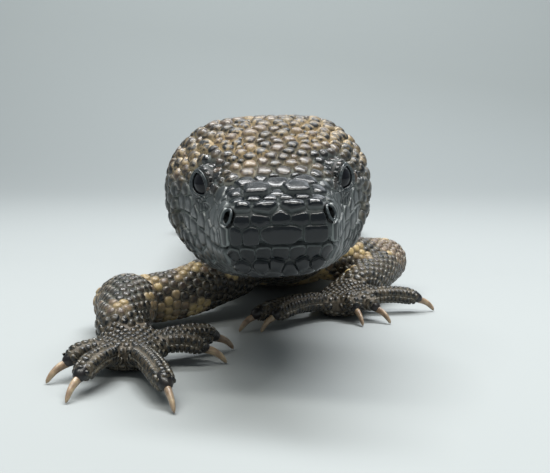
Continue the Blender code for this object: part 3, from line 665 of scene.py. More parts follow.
def markings(points):
    """How yellow the hide is, and how pale the hide is between the scutes, at points in the world."""
    local = to_head(points)
    on_head = (local[:, 1] < 64) & (points[:, 2] > 14)
    coarse = 0.62 * cloud(points, 13.0, 3) + 0.38 * cloud(points, 6.0, 5)
    bands = 0.5 + 0.5 * np.sin(2 * math.pi * points[:, 1] / BAND_STEP + 2.4 * (coarse - 0.5))
    low_side = smoothstep(22.0, 8.0, points[:, 2])
    yellow = smoothstep(0.55, 0.64, coarse + 0.13 * (bands - 0.5) + 0.03 * low_side)
    fine = 0.6 * cloud(points, 6.5, 11) + 0.4 * cloud(points, 3.0, 12)
    hand = dark_and_shaded_feet(points)
    limb = (np.abs(points[:, 0]) > 26) | (points[:, 1] < -150) | (hand > 0.5)
    spots = smoothstep(0.62, 0.70, fine)
    for x, y, z, reach, strength in YELLOW_SPOTS:
        far = np.linalg.norm(points - (x, y, z), axis=1)
        spots = np.maximum(spots, strength * smoothstep(1.15, 0.85, far / reach))
    yellow = np.where(limb & ~on_head, np.maximum(spots * 0.8, yellow * 0.15) * (1 - 0.9 * hand), yellow)
    crown = smoothstep(6.0, 12.0, local[:, 2]) * smoothstep(14.0, 22.0, local[:, 1])
    cheek = 0.3 * smoothstep(30.0, 44.0, local[:, 1])
    patch = smoothstep(0.35, 0.62, 0.5 * cloud(points, 8.0, 21) + 0.5 * cloud(points, 3.5, 22))
    head_dust = np.clip(np.maximum(crown, cheek) * (0.35 + 0.75 * patch), 0, 1)
    # no sand round the eyes, so hide and scutes there stay dark: the dark skin round the eyes, and painted
    # shade in the sockets
    for side in (1, -1):
        near_eye = np.linalg.norm(local - EYE * (side, 1, 1), axis=1)
        head_dust = head_dust * smoothstep(5.5, 9.0, near_eye)
    dust = np.where(on_head, head_dust, 0.22 + 0.6 * yellow)
    yellow = np.where(on_head, 0.0, yellow)
    return yellow, dust


def greyness(points):
    """How grey, rather than black, the hide is between the plates of the face, at points in the world; round
    the nostrils and eyes it stays black as painted shade.
    """
    local = to_head(points)
    flank = smoothstep(9.0, 12.0, np.abs(local[:, 0]))
    front = 0.15 + 0.4 * smoothstep(-4.0, -2.0, local[:, 2])
    face = smoothstep(64, 60, local[:, 1]) * (points[:, 2] > 14) * (flank + (1 - flank) * front)
    # round the nostrils and the eyes the hide stays black: painted shade in the nostril pits and eye sockets,
    # and the dark skin round the eyes
    for hole, near, far in ((NOSTRIL, 1.6, 2.3), (EYE, 4.2, 5.6)):
        for side in (1, -1):
            face = face * smoothstep(near, far, np.linalg.norm(local - hole * (side, 1, 1), axis=1))
    return face


def nostril_shade_share(points):
    """How far points in the world lie down a nostril, where the hide gets near-black painted shade of the
    pit.
    """
    away = to_head(points)
    away[:, 0] = np.abs(away[:, 0])
    away = away - NOSTRIL
    return smoothstep(1.25, 0.85, np.linalg.norm(away / (1.9, 2.2, 2.3), axis=1))


def paint_points(mesh, tone, edge, dust, rim=0.0):
    """Stores the markings on a mesh's points, for its material."""
    layer = mesh.color_attributes.new(name="paint", type="FLOAT_COLOR", domain="POINT")
    values = np.ones((len(mesh.vertices), 4), np.float32)
    values[:, 0], values[:, 1], values[:, 2], values[:, 3] = tone, edge, dust, rim
    layer.data.foreach_set("color", values.ravel())


def vertex_array(mesh):
    """A mesh's points in metres."""
    flat = np.empty(len(mesh.vertices) * 3, np.float32)
    mesh.vertices.foreach_get("co", flat)
    return flat.reshape(-1, 3).astype(float)


def read_paint(tree):
    """The stored markings as outputs: tone, nearness to the edge, dust and the painted highlight of the rim.
    """
    stored = add_node(tree, "ShaderNodeAttribute", attribute_name="paint")
    split = add_node(tree, "ShaderNodeSeparateColor", [("Color", stored.outputs["Color"])])
    return split.outputs["Red"], split.outputs["Green"], split.outputs["Blue"], stored.outputs["Alpha"]


def colour_ramp(tree, value, stops):
    """A colour for a value, from (place, hex colour) stops."""
    ramp = add_node(tree, "ShaderNodeValToRGB", [("Fac", value)])
    while len(ramp.color_ramp.elements) < len(stops):
        ramp.color_ramp.elements.new(0.5)
    for element, (place, colour) in zip(ramp.color_ramp.elements, stops):
        element.position = place
        element.color = linear(colour)
    return ramp.outputs["Color"]


def object_noise(tree, grain_mm, detail=3.0):
    """Noise with grains of a size in millimetres."""
    place = add_node(tree, "ShaderNodeTexCoord").outputs["Object"]
    scale = 1000.0 / grain_mm  # grains to a metre
    noise = add_node(tree, "ShaderNodeTexNoise", [("Vector", place)], in_Scale=scale, in_Detail=detail)
    return noise.outputs["Fac"]


def calculate(tree, operation, *values, use_clamp=False):
    """A value worked out from numbers and outputs. MULTIPLY_ADD takes a value, a factor and a term."""
    node = add_node(tree, "ShaderNodeMath", operation=operation, use_clamp=use_clamp)
    for socket, value in zip(node.inputs, values):
        if isinstance(value, float):
            socket.default_value = value
        else:
            tree.links.new(value, socket)
    return node.outputs[0]


def smooth_share(tree, value, low, high):
    """A share that rises smoothly from 0 to 1 as the value goes from low to high."""
    ends = {"in_From_Min": low, "in_From_Max": high}
    node = add_node(tree, "ShaderNodeMapRange", [("Value", value)], interpolation_type="SMOOTHSTEP", **ends)
    return node.outputs[0]


def mix_colours(tree, share, first, second):
    """A blend of two colours, each a hex value or an output, by the share of the second."""
    node = add_node(tree, "ShaderNodeMix", data_type="RGBA")
    tree.links.new(share, node.inputs["Factor"])
    for key, value in ((6, first), (7, second)):
        if isinstance(value, str):
            node.inputs[key].default_value = linear(value)
        else:
            tree.links.new(value, node.inputs[key])
    return node.outputs[2]


def add_bump(tree, shader, height, depth_mm, strength):
    """Relief in a surface, from a height and the depth of its grain."""
    depth = depth_mm * MM
    bump = add_node(tree, "ShaderNodeBump", [("Height", height)], in_Strength=strength, in_Distance=depth)
    tree.links.new(bump.outputs["Normal"], shader.inputs["Normal"])


# thin keratin hide, dry and creased about every millimetre, so it is nearly matt
hide_finish, tree, shader = new_material("creased_hide", Roughness=0.62)
_, pit, dust, grey = read_paint(tree)
grain = object_noise(tree, 1.1)
dark = colour_ramp(tree, grain, ((0.3, "#0f1113"), (0.7, "#262524")))
greying = colour_ramp(tree, grain, ((0.3, "#3d4446"), (0.7, "#5f6767")))
dark = mix_colours(tree, grey, dark, greying)
pale = colour_ramp(tree, grain, ((0.3, "#6f6250"), (0.7, "#b5a285")))
skin_colour = mix_colours(tree, dust, dark, pale)
# down the nostrils the hide is painted near-black with less shine: painted shade in the pits
tree.links.new(mix_colours(tree, pit, skin_colour, "#030304"), shader.inputs["Base Color"])
shine = calculate(tree, "MULTIPLY_ADD", pit, -0.5, 0.5)
tree.links.new(shine, shader.inputs["Specular IOR Level"])
add_bump(tree, shader, grain, 0.25, 0.7)
points = vertex_array(skin.data) / MM
yellow, dust = markings(points)
paint_points(skin.data, yellow, nostril_shade_share(points), dust, greyness(points))
dress(skin, hide_finish)
limb_parts = ("upper_arm", "forearm", "hand", "thigh", "shank", "foot")
limb_nodes = [f"{part}_{side}" for part in limb_parts for side in ("left", "right")]
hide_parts("head", "lower_jaw", "neck", "torso", "tail_base", "tail_tip", *limb_nodes)


# Scutes. Bony beads under a hard glossy scale, packed like pebbles: in rows round the body, tail and
# legs, and without order on the crown. Each is a dome that fills the space its neighbours leave it.
sites = []
GROUPS = []
TOE_RANK = 4.0


def add_sites(group, place, normal, along, long, wide, height, flat=0.0, rank=1.0, hole=0.0, cap=1.3):
    """Adds scutes to be. long and wide are half sizes, and flat is 1 for a plate and 0 for a pebble.
    The lower rank keeps its place in a crowd, a hole only holds others off, and cap is the most that a
    scute grows past its half sizes."""
    if group not in GROUPS:
        GROUPS.append(group)
    n = len(place)
    row = {"place": np.array(place, float), "normal": unit(normal)}
    row["along"] = unit(np.broadcast_to(along, (n, 3)))
    keys = ("long", "wide", "height", "flat", "rank", "hole", "cap")
    for key, value in zip(keys, (long, wide, height, flat, rank, hole, cap)):
        row[key] = np.broadcast_to(np.asarray(value, float), (n,)).copy()
    row["group"] = np.full(n, GROUPS.index(group))
    sites.append(row)


def rows_round(rings, step, gap, stagger=True, start=None):
    """Even rows of places round a stack of rings: places, directions outwards and along."""
    far = way_along(rings.mean(axis=1))
    normals = grid_normals(rings)
    ways = unit(np.gradient(rings, axis=0))
    count = rings.shape[1]
    found = []
    for row, stop in enumerate(np.arange(step / 2 if start is None else start, far[-1], step)):
        i = int(np.clip(np.searchsorted(far, stop) - 1, 0, len(far) - 2))
        w = (stop - far[i]) / max(far[i + 1] - far[i], 1e-9)
        ring, normal, way = (
            np.roll(a[i] * (1 - w) + a[i + 1] * w, -(count // 4), axis=0) for a in (rings, normals, ways)
        )
        arc = way_along(np.vstack((ring, ring[:1])))
        n = max(int(round(arc[-1] / gap)), 4)
        at = (np.arange(n) + (0.5 * (row % 2) if stagger else 0.0)) * arc[-1] / n
        k = np.clip(np.searchsorted(arc, at, "right") - 1, 0, count - 1)
        u = ((at - arc[k]) / (arc[k + 1] - arc[k]))[:, None]
        after = (k + 1) % count
        found.append([a[k] * (1 - u) + a[after] * u for a in (ring, normal, way)])
    return [np.vstack(parts) for parts in zip(*found)]


BODY_SCUTE = 3.9  # from one bead of the back to the next
UPPER_SCUTE, LOWER_SCUTE = 3.0, 2.7  # the same on the upper and the lower part of a leg
TOE_BAND, TOE_SCUTE = 1.3, 2.5  # from band to band of a toe, and from scute to scute round it
for group, start, end, gap in (
    ("neck", HEAD_LENGTH - 1.5, TRUNK_START + 2, 3.6),
    ("trunk_front", TRUNK_START + 2, 224, BODY_SCUTE),
    ("trunk_back", 224, VENT, BODY_SCUTE),
    ("tail_base", VENT, 446, 3.6),
    ("tail_tip", 446, TOTAL_LENGTH - 0.3, 3.3),
):
    rings = np.array([body_ring(s, turns_of(240), HIDE_DEPTH) for s in np.arange(start, end, 1.0)])
    place, normal, along = rows_round(rings, gap * 0.93, gap, start=0.5)
    under = smoothstep(-0.35, -0.8, normal[:, 2])
    half = gap * 0.5
    add_sites(group, place, normal, along, half, half, 1.25 * (1 - 0.7 * under), 0.55 * under)
for key, (side, upper, lower) in LEGS.items():
    group = key + "_leg"
    for joints in (upper, lower):
        line, radii = limb_line(joints, side, 0.6)
        gap = UPPER_SCUTE if joints is upper else LOWER_SCUTE
        place, normal, along = rows_round(tube(line, radii, radii, 160, HIDE_DEPTH), 0.74 * gap, gap)
        add_sites(group, place, normal, along, 0.38 * gap, 0.5 * gap, 0.27 * gap, 0.2, rank=2.0)
    line, widths, heights, _, _ = palm_line(key)
    place, normal, along = rows_round(tube(line, widths, heights, 160, 0.6, 2.2), 1.75, 1.95)
    add_sites(group, place, normal, along, 0.85, 0.9, 0.52, 0.1, rank=3.0, cap=1.05)
    for line, radii, *_ in toe_lines(key):
        rings = tube(line, radii, radii, 120, 0.2)
        place, normal, along = rows_round(rings, TOE_BAND, TOE_SCUTE, stagger=False, start=1.0)
        add_sites(group, place, normal, along, 0.67, 1.42, 0.55, 0.2, rank=TOE_RANK)


# Head. The beads of the crown have no order. The snout carries large smooth plates and the lips a
# row of shields each, which part at the mouth. Sizes and places of the plates are the animal's own.
flat_points = head_rings.reshape(-1, 3)
quads = grid_faces(*head_rings.shape[:2])
snout_end = list(range(head_rings.shape[1]))
head_tree = BVHTree.FromPolygons(flat_points.tolist(), [*quads.tolist(), snout_end])


def on_head(points):
    """The nearest places on the head's base surface and the directions out of it, in its own directions."""
    places, normals = [], []
    for point in points:
        place, normal, _, _ = head_tree.find_nearest(Vector(point))
        outwards = np.array(place) - (0.0, min(max(place[1], 8.0), 60.0), HEAD_AXIS)
        normal = np.array(normal)
        places.append(place)
        normals.append(normal if normal @ outwards > 0 else -normal)
    return np.array(places), np.array(normals)


# each plate: side, back, up, half width, half length, height, flatness, and what its length runs along.
# The plates of the middle and of one side only stand first, those of both sides after them.
MIDDLE_PLATES = (
    (0.3, 0.4, 2.15, 4.2, 2.1, 0.5, 1.0, "z"),  # rostral
    (-5.85, 0.5, 2.0, 1.65, 2.0, 0.5, 1.0, "z"),  # first shields of the upper lip
    (-8.9, 0.9, 2.1, 1.3, 1.9, 0.4, 1.0, "z"),
    (7.2, 0.6, 2.1, 2.6, 2.0, 0.5, 1.0, "z"),
    (0.35, 0.7, 5.75, 1.95, 1.5, 0.7, 0.8, "z"),
    (0.0, 12.4, 11.0, 2.3, 2.3, 0.8, 0.6, "y"),
    (0.0, 1.8, -2.2, 1.7, 1.9, 0.25, 1.0, "z"),
)
PAIRED_PLATES = (
    (3.95, 0.6, 5.5, 1.85, 1.2, 0.55, 1.0, "z"),
    (7.4, 0.7, 5.3, 1.5, 1.4, 0.55, 1.0, "z"),
    (2.9, 1.8, 8.0, 2.5, 1.5, 1.5, 0.0, "z"),
    (7.2, 2.3, 8.1, 1.8, 1.5, 1.4, 0.0, "z"),  # beside the nostril
    (1.6, 5.2, 9.1, 1.6, 1.1, 1.2, 0.1, "y"),  # narrow shelf of the snout
    (4.9, 5.4, 9.1, 1.7, 1.1, 1.2, 0.1, "y"),
    (8.2, 5.8, 8.8, 1.6, 1.2, 0.7, 0.7, "y"),
    (4.1, 9.0, 10.1, 3.1, 2.4, 1.7, 1.0, "y"),  # twin swells behind the shelf
    (8.7, 9.4, 9.5, 1.8, 1.9, 1.2, 0.3, "y"),
    (6.3, 13.3, 11.2, 2.4, 1.8, 1.0, 0.5, "y"),
    (2.1, 17.0, 12.8, 2.0, 1.7, 1.0, 0.05, "y"),
    (5.6, 17.2, 12.8, 1.75, 1.6, 1.1, 0.05, "y"),
    (9.2, 16.6, 11.7, 1.6, 1.6, 1.1, 0.2, "y"),
    (11.6, 2.5, 2.2, 1.5, 2.0, 0.45, 0.9, "z"),  # corner of the muzzle, under the nostril
    (12.9, 5.2, 6.9, 1.3, 1.7, 0.5, 0.8, "z"),
    (3.4, 1.8, -2.2, 1.6, 1.9, 0.25, 1.0, "z"),  # lower lip, from the middle out
    (6.6, 2.0, -2.2, 1.5, 1.9, 0.25, 1.0, "z"),
    (9.4, 3.0, -2.2, 1.4, 1.9, 0.25, 1.0, "z"),
)
pins, pin_shape, pin_along = [], [], []
SLANT = np.array((0.0, 0.42, -0.9))  # the scales of lips and jowls lean back towards the throat
mirrored_plates = [(-plate[0], *plate[1:]) for plate in PAIRED_PLATES]
for side_at, back, up, wide, long, height, flat, along in (*MIDDLE_PLATES, *PAIRED_PLATES, *mirrored_plates):
    pins.append((side_at, back, up))
    pin_shape.append((long, wide, height, flat))
    pin_along.append((0.0, 0.0, 1.0) if along == "z" else (0.0, 1.0, 0.0))
# the shields of both lips, which begin beside the plates of the front and run to the mouth's corner
for back in np.arange(5.2, MOUTH_CORNER - 4, 4.1):
    line = track(MOUTH_LINE, back)[0, 0]
    for side in (1, -1):
        for at, up, long, height in ((back, line + 1.95, 1.75, 0.75), (back + 0.8, line - 2.05, 1.85, 0.65)):
            hit = head_tree.ray_cast(Vector((side * 40, at, up)), Vector((-side, 0, 0)))
            pins.append(hit[0])
            pin_shape.append((long, 2.05, height, 0.6))
            pin_along.append(SLANT if up < line else SLANT * (1, -1, 1))
pin_place, pin_normal = on_head(pins)
pin_shape = np.array(pin_shape)
pin_size = np.sqrt(pin_shape[:, 0] * pin_shape[:, 1])

eye_scales = []
for side in (1, -1):
    across, up, out = eye_axes(side)
    centre = EYE * (side, 1, 1)
    # small scales hug the lids all round, then a row of narrow upright ones stands below, a row of
    # rounder ones above
    for beyond, number, long, wide, below in (
        (0.4, 18, 0.5, 0.6, None),
        (1.7, 26, 0.95, 0.6, True),
        (1.6, 15, 0.95, 1.0, False),
    ):
        for k in range(number):
            angle = 2 * math.pi * k / number
            offset = across * (LID_REACH[0] + beyond) * math.cos(angle)
            offset = offset + up * (LID_REACH[1] + beyond) * math.sin(angle)
            if below is None or (offset[2] < -1.0) == below:
                reach = math.sqrt(max(LID_RADIUS**2 - offset @ offset, 0.1))
                eye_scales.append((centre + offset + out * reach, offset, long, wide))
eye_place, eye_normal = on_head([e[0] for e in eye_scales])
eye_along = np.array([e[1] for e in eye_scales])
eye_long, eye_wide = (np.array([e[k] for e in eye_scales]) for k in (2, 3))
eye_size = np.sqrt(eye_long * eye_wide)

holes, hole_shape, hole_along = [], [], []
for side in (1, -1):
    holes.append(NOSTRIL * (side, 1, 1))
    hole_shape.append((2.0, 1.35))
    hole_along.append((0, 0, 1))
    across, up, out = eye_axes(side)
    holes.append(EYE * (side, 1, 1) + out * LID_RADIUS)
    hole_shape.append(LID_REACH[::-1])
    hole_along.append(up)
hole_place, hole_normal = on_head(holes)
hole_shape = np.array(hole_shape)
hole_size = np.sqrt(hole_shape.prod(axis=1))


def lore_share(points):
    """Whether points lie on the smooth flank of the snout between nostril and eye."""
    between = smoothstep(5, 9, points[:, 1]) * smoothstep(24, 18, points[:, 1])
    return between * smoothstep(9.5, 7.5, points[:, 2])


def bead_size(points, normals):
    """Half the width of the free beads of the head, by where they lie."""
    crown = smoothstep(0.2, 0.7, normals[:, 2]) * smoothstep(14, 26, points[:, 1])
    size = 1.42 + 0.02 * crown + 0.28 * smoothstep(28, 40, points[:, 1])
    mirrored = np.column_stack((np.abs(points[:, 0]), points[:, 1:]))
    near_eye = np.linalg.norm(mirrored - EYE, axis=1)
    size *= 0.78 + 0.22 * smoothstep(5.5, 10.0, near_eye)
    return size * (1 + 0.35 * lore_share(points))


def squeeze(points, undo=False):
    """Heights shortened on the flanks, where the scales are taller than wide, or drawn out again."""
    points = points.copy()
    low = points[:, 2] - 6
    points[:, 2] = np.where(low < 0, 6 + (low / 0.9 if undo else low * 0.9), points[:, 2])
    return points


# free beads: places picked at random over the head, no two too near, then pushed apart until they fit.
# Distances are shares of the half sizes of a pair together.
FREE_TRIES = 16000
PLATE_NEAREST, BEAD_NEAREST = 0.82, 0.84  # how near a plate and a bead, or two beads, may start
BEAD_WISH = 1.04  # how far apart they would rather be
PUSH_TURNS, PUSH_SHARE = 14, 0.28  # how often they are pushed, and by how much of what is missing
FILL_LEAST, FILL_MOST = 0.68, 1.3  # half sizes of the scales that fill gaps, in mm
rng = np.random.default_rng(8)
corners = flat_points[quads]
area = np.linalg.norm(np.cross(corners[:, 1] - corners[:, 0], corners[:, 3] - corners[:, 0]), axis=1)
pick = rng.choice(len(quads), FREE_TRIES, p=area / area.sum())
u, v = rng.random((2, FREE_TRIES, 1))
c = corners[pick]
trial = c[:, 0] * (1 - u) * (1 - v) + c[:, 1] * u * (1 - v) + c[:, 2] * u * v + c[:, 3] * (1 - u) * v
trial_place, trial_normal = on_head(trial)
trial_size = bead_size(trial_place, trial_normal)
solid_place = squeeze(np.vstack((pin_place, eye_place, hole_place)))
solid_size = np.concatenate((pin_size, eye_size, hole_size))
# none lies among the shields of the lips, on the mouth's line or among the plates of the front
line = track(MOUTH_LINE, trial_place[:, 1])[:, 0]
blocked = (np.abs(trial_place[:, 2] - line) < 3.4) & (trial_place[:, 1] < MOUTH_CORNER - 5)
blocked |= (np.abs(trial_place[:, 2] - line) < 1.2) & (trial_place[:, 1] < MOUTH_CORNER)
blocked |= (trial_place[:, 1] < 6.5) & (trial_place[:, 2] > -3.5)
flat_trial = squeeze(trial_place)


def tree_of(points):
    """A tree that finds the points near a place."""
    tree = KDTree(len(points))
    for k, point in enumerate(points):
        tree.insert(point, k)
    tree.balance()
    return tree


trial_tree = tree_of(flat_trial)
for point, size in zip(solid_place, solid_size):
    for _, k, far in trial_tree.find_range(point, size + 2.2):
        if far < size + PLATE_NEAREST * trial_size[k]:
            blocked[k] = True
chosen = []
for k in range(len(trial_place)):
    if blocked[k]:
        continue
    chosen.append(k)
    for _, m, far in trial_tree.find_range(flat_trial[k], 4.0):
        if far < BEAD_NEAREST * (trial_size[k] + trial_size[m]):
            blocked[m] = True
free_place, free_size = trial_place[chosen], trial_size[chosen]
for turn in range(PUSH_TURNS):
    moved = squeeze(free_place)
    everything = np.vstack((moved, solid_place))
    every_size = np.concatenate((free_size, solid_size))
    apart = moved[:, None] - everything[None]
    far = np.linalg.norm(apart, axis=2)
    wish = (free_size[:, None] + every_size[None]) * BEAD_WISH
    push = np.where((far > 1e-6) & (far < wish), (wish - far) / np.maximum(far, 1e-6), 0.0)
    moved = moved + PUSH_SHARE * (apart * push[..., None]).sum(axis=1)
    free_place, free_normal = on_head(squeeze(moved, undo=True))
    free_size = bead_size(free_place, free_normal) * (0.76 + 0.48 * cloud(free_place, 1.7, 4))
# small scales fill what gaps are left, but not between the plates of the snout
off_lip = np.where(trial_place[:, 1] < MOUTH_CORNER, np.abs(trial_place[:, 2] - line) - 0.3, 9.0)
apart = np.linalg.norm(flat_trial[:, None] - np.vstack((squeeze(free_place), solid_place))[None], axis=2)
room = np.minimum((apart - np.concatenate((free_size, solid_size))).min(axis=1), off_lip)
plated = (trial_place[:, 1] < 15) & (np.abs(trial_place[:, 0]) < 10.5) & (trial_place[:, 2] > -5)
room = np.where(plated, 0.0, room)
added = []
while room.max() > FILL_LEAST:
    k = int(np.argmax(room))
    size = min(room[k] * 1.1, FILL_MOST)
    added.append((k, size))
    room = np.minimum(room, np.linalg.norm(flat_trial - flat_trial[k], axis=1) - size)
added, added_size = map(list, zip(*added))
free_place = np.vstack((free_place, trial_place[added]))
free_normal = np.vstack((free_normal, trial_normal[added]))
free_size = np.concatenate((free_size, added_size))
flank = smoothstep(7, 4, free_place[:, 2]) * smoothstep(-0.8, -0.4, free_normal[:, 2])
throat = smoothstep(-0.4, -0.8, free_normal[:, 2])
free_long, free_wide = free_size * (1 + 0.14 * flank), free_size * (1 - 0.05 * flank)
crown = smoothstep(0.1, 0.6, free_normal[:, 2]) * smoothstep(12, 24, free_place[:, 1])
lore = lore_share(free_place)
rear = smoothstep(26, 34, free_place[:, 1])
free_height = (0.7 + 1.15 * np.maximum(0.6 * crown, rear)) * (1 - 0.45 * throat) * (1 - 0.55 * lore)
free_flat = np.maximum(0.02 + 0.25 * flank * (1 - 0.6 * rear), 0.85 * lore)
free_along = np.where(flank[:, None] > 0.5, SLANT, np.array((0.0, 1.0, 0.0)))


def head_sites(place, normal, along, *shape, **more):
    """Adds scutes whose places are given in the head's own directions."""
    along = np.asarray(along) @ HEAD_AXES
    add_sites("head", to_world(place), normal @ HEAD_AXES, along, *shape, rank=0.0, **more)


head_sites(pin_place, pin_normal, pin_along, *pin_shape.T, cap=1.9)
head_sites(eye_place, eye_normal, eye_along, eye_long, eye_wide, 0.42, 0.3, cap=1.4)
head_sites(free_place, free_normal, free_along, free_long, free_wide, free_height, free_flat, cap=1.8)
head_sites(hole_place, hole_normal, hole_along, *hole_shape.T, 0.0, hole=1.0)
S = {key: np.concatenate([row[key] for row in sites]) for key in sites[0]}  # all scutes, by property
HEAD_GROUP = GROUPS.index("head")

# the body's scutes sit on the fused hide; those inside it, or crowding others at a joint, are left out
BODY_OFF, LEG_OFF = 0.9, 2.0  # how far off the fused hide a scute's place may lie
JOINT_NEAREST, ROW_NEAREST = 0.78, 0.5  # how near two scutes of different parts, or of one, may lie
hide_points = vertex_array(skin.data) / MM
hide_tree = BVHTree.FromPolygons(hide_points.tolist(), [tuple(p.vertices) for p in skin.data.polygons])
keep = np.ones(len(S["place"]), bool)
for k in np.nonzero(S["group"] != HEAD_GROUP)[0]:
    place, normal, _, far = hide_tree.find_nearest(Vector(S["place"][k]))
    if far > (LEG_OFF if S["rank"][k] > 1 else BODY_OFF) or (np.array(normal) @ S["normal"][k]) < 0.2:
        keep[k] = False
        continue
    S["place"][k] = place
    S["normal"][k] = unit(np.array(normal) * 0.6 + S["normal"][k] * 0.4)
local = to_head(S["place"])
under_head = (local[:, 1] < HEAD_LENGTH - 0.5) & (local[:, 1] > -2) & (np.abs(local[:, 0]) < 30)
keep &= ~((S["group"] != HEAD_GROUP) & under_head & (S["place"][:, 2] > 15))
order = np.lexsort((np.arange(len(keep)), S["rank"]))
turn_of = np.empty(len(keep), int)
turn_of[order] = np.arange(len(keep))
size = np.sqrt(S["long"] * S["wide"])
site_tree = tree_of(S["place"])
for k in order:
    if not keep[k] or S["hole"][k]:
        continue
    for _, m, far in site_tree.find_range(S["place"][k], 3.4):
        if turn_of[m] > turn_of[k] and keep[m] and not S["hole"][m]:
            joint = S["rank"][m] != S["rank"][k] or S["group"][m] != S["group"][k]
            if far < (JOINT_NEAREST if joint else ROW_NEAREST) * (size[k] + size[m]):
                keep[m] = False
S = {key: value[keep] for key, value in S.items()}

# the folds of the hide that no row reaches get beads like their neighbours'
size = np.sqrt(S["long"] * S["wide"])
site_tree = tree_of(S["place"])
bare = []
in_head = to_head(hide_points)
in_head = (in_head[:, 1] < HEAD_LENGTH) & (np.abs(in_head[:, 0]) < 30) & (hide_points[:, 2] > 15)
for k in rng.permutation(np.nonzero(~in_head & (hide_points[:, 2] > 0.5))[0]):
    _, m, far = site_tree.find(hide_points[k])
    free = far > 1.2 * size[m] + 0.5
    if free and all(math.dist(hide_points[k], hide_points[j]) > 1.9 * size[m] for j, _ in bare):
        bare.append((k, m))
bare_points, like = np.array(bare).T
S = {key: np.concatenate((value, value[like])) for key, value in S.items()}
for n, k in enumerate(bare_points, len(size)):
    S["place"][n] = hide_points[k]
    S["normal"][n] = hide_tree.find_nearest(Vector(hide_points[k]))[1]

# outlines: each scute ends where its neighbours begin, with rounded corners
N = len(S["place"])
S["across"] = unit(np.cross(S["normal"], S["along"]))
S["along"] = unit(np.cross(S["across"], S["normal"]))
site_tree = tree_of(S["place"])
NEAR = 12  # how many neighbours shape a scute
near = np.tile(np.arange(N)[:, None], NEAR)
for k, point in enumerate(S["place"]):
    found = [m for _, m, _ in site_tree.find_n(point, NEAR + 1) if m != k][:NEAR]
    near[k, : len(found)] = found
offset = S["place"][near] - S["place"][:, None]


def own_reach(u, v, long, wide):
    """How far an ellipse reaches in a direction."""
    return np.hypot(u, v) / np.maximum(np.hypot(u / long, v / wide), 1e-6)


def dot(a, b):
    return (a * b).sum(axis=-1)


long, wide, along, across = (S[key][:, None] for key in ("long", "wide", "along", "across"))
du, dv = dot(offset, along), dot(offset, across)
mine = own_reach(du, dv, long, wide)
# the seam of a pair is square to their offset in the mean of their two stretched measures
seam = (du / long**2)[..., None] * along
seam = seam + (dv / wide**2)[..., None] * across
near_long, near_wide, near_along, near_across = (S[key][near] for key in ("long", "wide", "along", "across"))
their_u, their_v = dot(offset, near_along), dot(offset, near_across)
theirs = own_reach(their_u, their_v, near_long, near_wide)
seam = seam + (their_u / near_long**2)[..., None] * near_along
seam = seam + (their_v / near_wide**2)[..., None] * near_across
toward = np.arctan2(dot(seam, across), dot(seam, along))
border = mine / (mine + theirs) * (np.cos(toward) * du + np.sin(toward) * dv)
border = np.where((near == np.arange(N)[:, None]) | (border < 0.05), 99.0, border)
local = to_head(S["place"])
line = track(MOUTH_LINE, local[:, 1])[:, 0]
drop = local[:, 2] - line
at_lip = (S["group"] == HEAD_GROUP) & (np.abs(drop) < 5) & (local[:, 1] < MOUTH_CORNER)
lipwards = -np.sign(drop)[:, None] * HEAD_AXES[2][None]
lip_u, lip_v = dot(lipwards, S["along"]), dot(lipwards, S["across"])
lip_border = np.clip((np.abs(drop) - 0.2) / np.maximum(np.hypot(lip_u, lip_v), 0.2), 0.1, None)
lip_toward = np.arctan2(lip_v, lip_u)


def outlines(pick, theta):
    """How far each picked scute reaches in each direction. Flat plates have the sharper corners."""
    soft = 12.0 + 12.0 * S["flat"][pick, None]
    ellipse = own_reach(np.cos(theta), np.sin(theta), S["long"][pick, None], S["wide"][pick, None])
    total = (1 / (S["cap"][pick, None] * ellipse)) ** soft
    for k in range(NEAR):
        facing = np.clip(np.cos(theta - toward[pick, k, None]), 0, None)
        total += (facing / border[pick, k, None]) ** soft
    facing = np.clip(np.cos(theta - lip_toward[pick, None]), 0, None)
    total += np.where(at_lip[pick, None], (facing / lip_border[pick, None]) ** soft, 0.0)
    return total ** (-1 / soft)


# rings of a scute from its foot to its top: share of the outline and of the height
PEBBLE_SHARES = np.array((1.1, 1.02, 0.92, 0.76, 0.46, 0.0))
PEBBLE = np.array((-0.6, -0.08, 0.42, 0.78, 0.95, 1.0))
PLATE_SHARES = np.array((1.02, 1.0, 0.965, 0.88, 0.5, 0.0))
PLATE = np.array((-0.7, 0.05, 0.72, 0.95, 1.0, 1.0))
GAP = 0.06  # how far a plate keeps from its neighbours
BODY_BEND, LEG_BEND, TOE_BEND = 30.0, 7.0, 2.6  # radii that scutes are bent round

yellow, dust = markings(S["place"])
spread = rng.random(N)
aside, back, up = np.abs(local[:, 0]), local[:, 1], local[:, 2]
of_head = S["group"] == HEAD_GROUP
of_leg = np.array(["leg" in group for group in GROUPS])[S["group"]]
foot = dark_and_shaded_feet(S["place"])
crown = of_head & (back > 17) & (up > 8)
snout = of_head & (back < 15.5) & (S["rank"] == 0)
polished = of_head & (back < 6.5) & (aside < 10.5)
lore = of_head * lore_share(local)

# tone: from blue-black on the snout, over browns, to the yellow of the bands
WORN_SCUTES = (  # pale ones of the crown: side, back, up, tone
    (-3.7, 26.0, 16.4, 0.5), (-6.2, 19.1, 13.3, 0.56), (6.8, 35.0, 19.0, 0.55), (-18.6, 40.0, 14.0, 0.5),
)
tone = np.clip(0.14 * spread + yellow * (0.74 + 0.24 * rng.random(N)), 0, 1)
tone = np.where(crown, 0.05 + 0.36 * spread**1.6, tone)
for *place, strength in WORN_SCUTES:
    tone[np.argmin(np.linalg.norm(local - np.array(place), axis=1))] = strength
tone = np.where(snout, 0.0, np.where(of_head & ~crown, 0.1 * spread, tone))
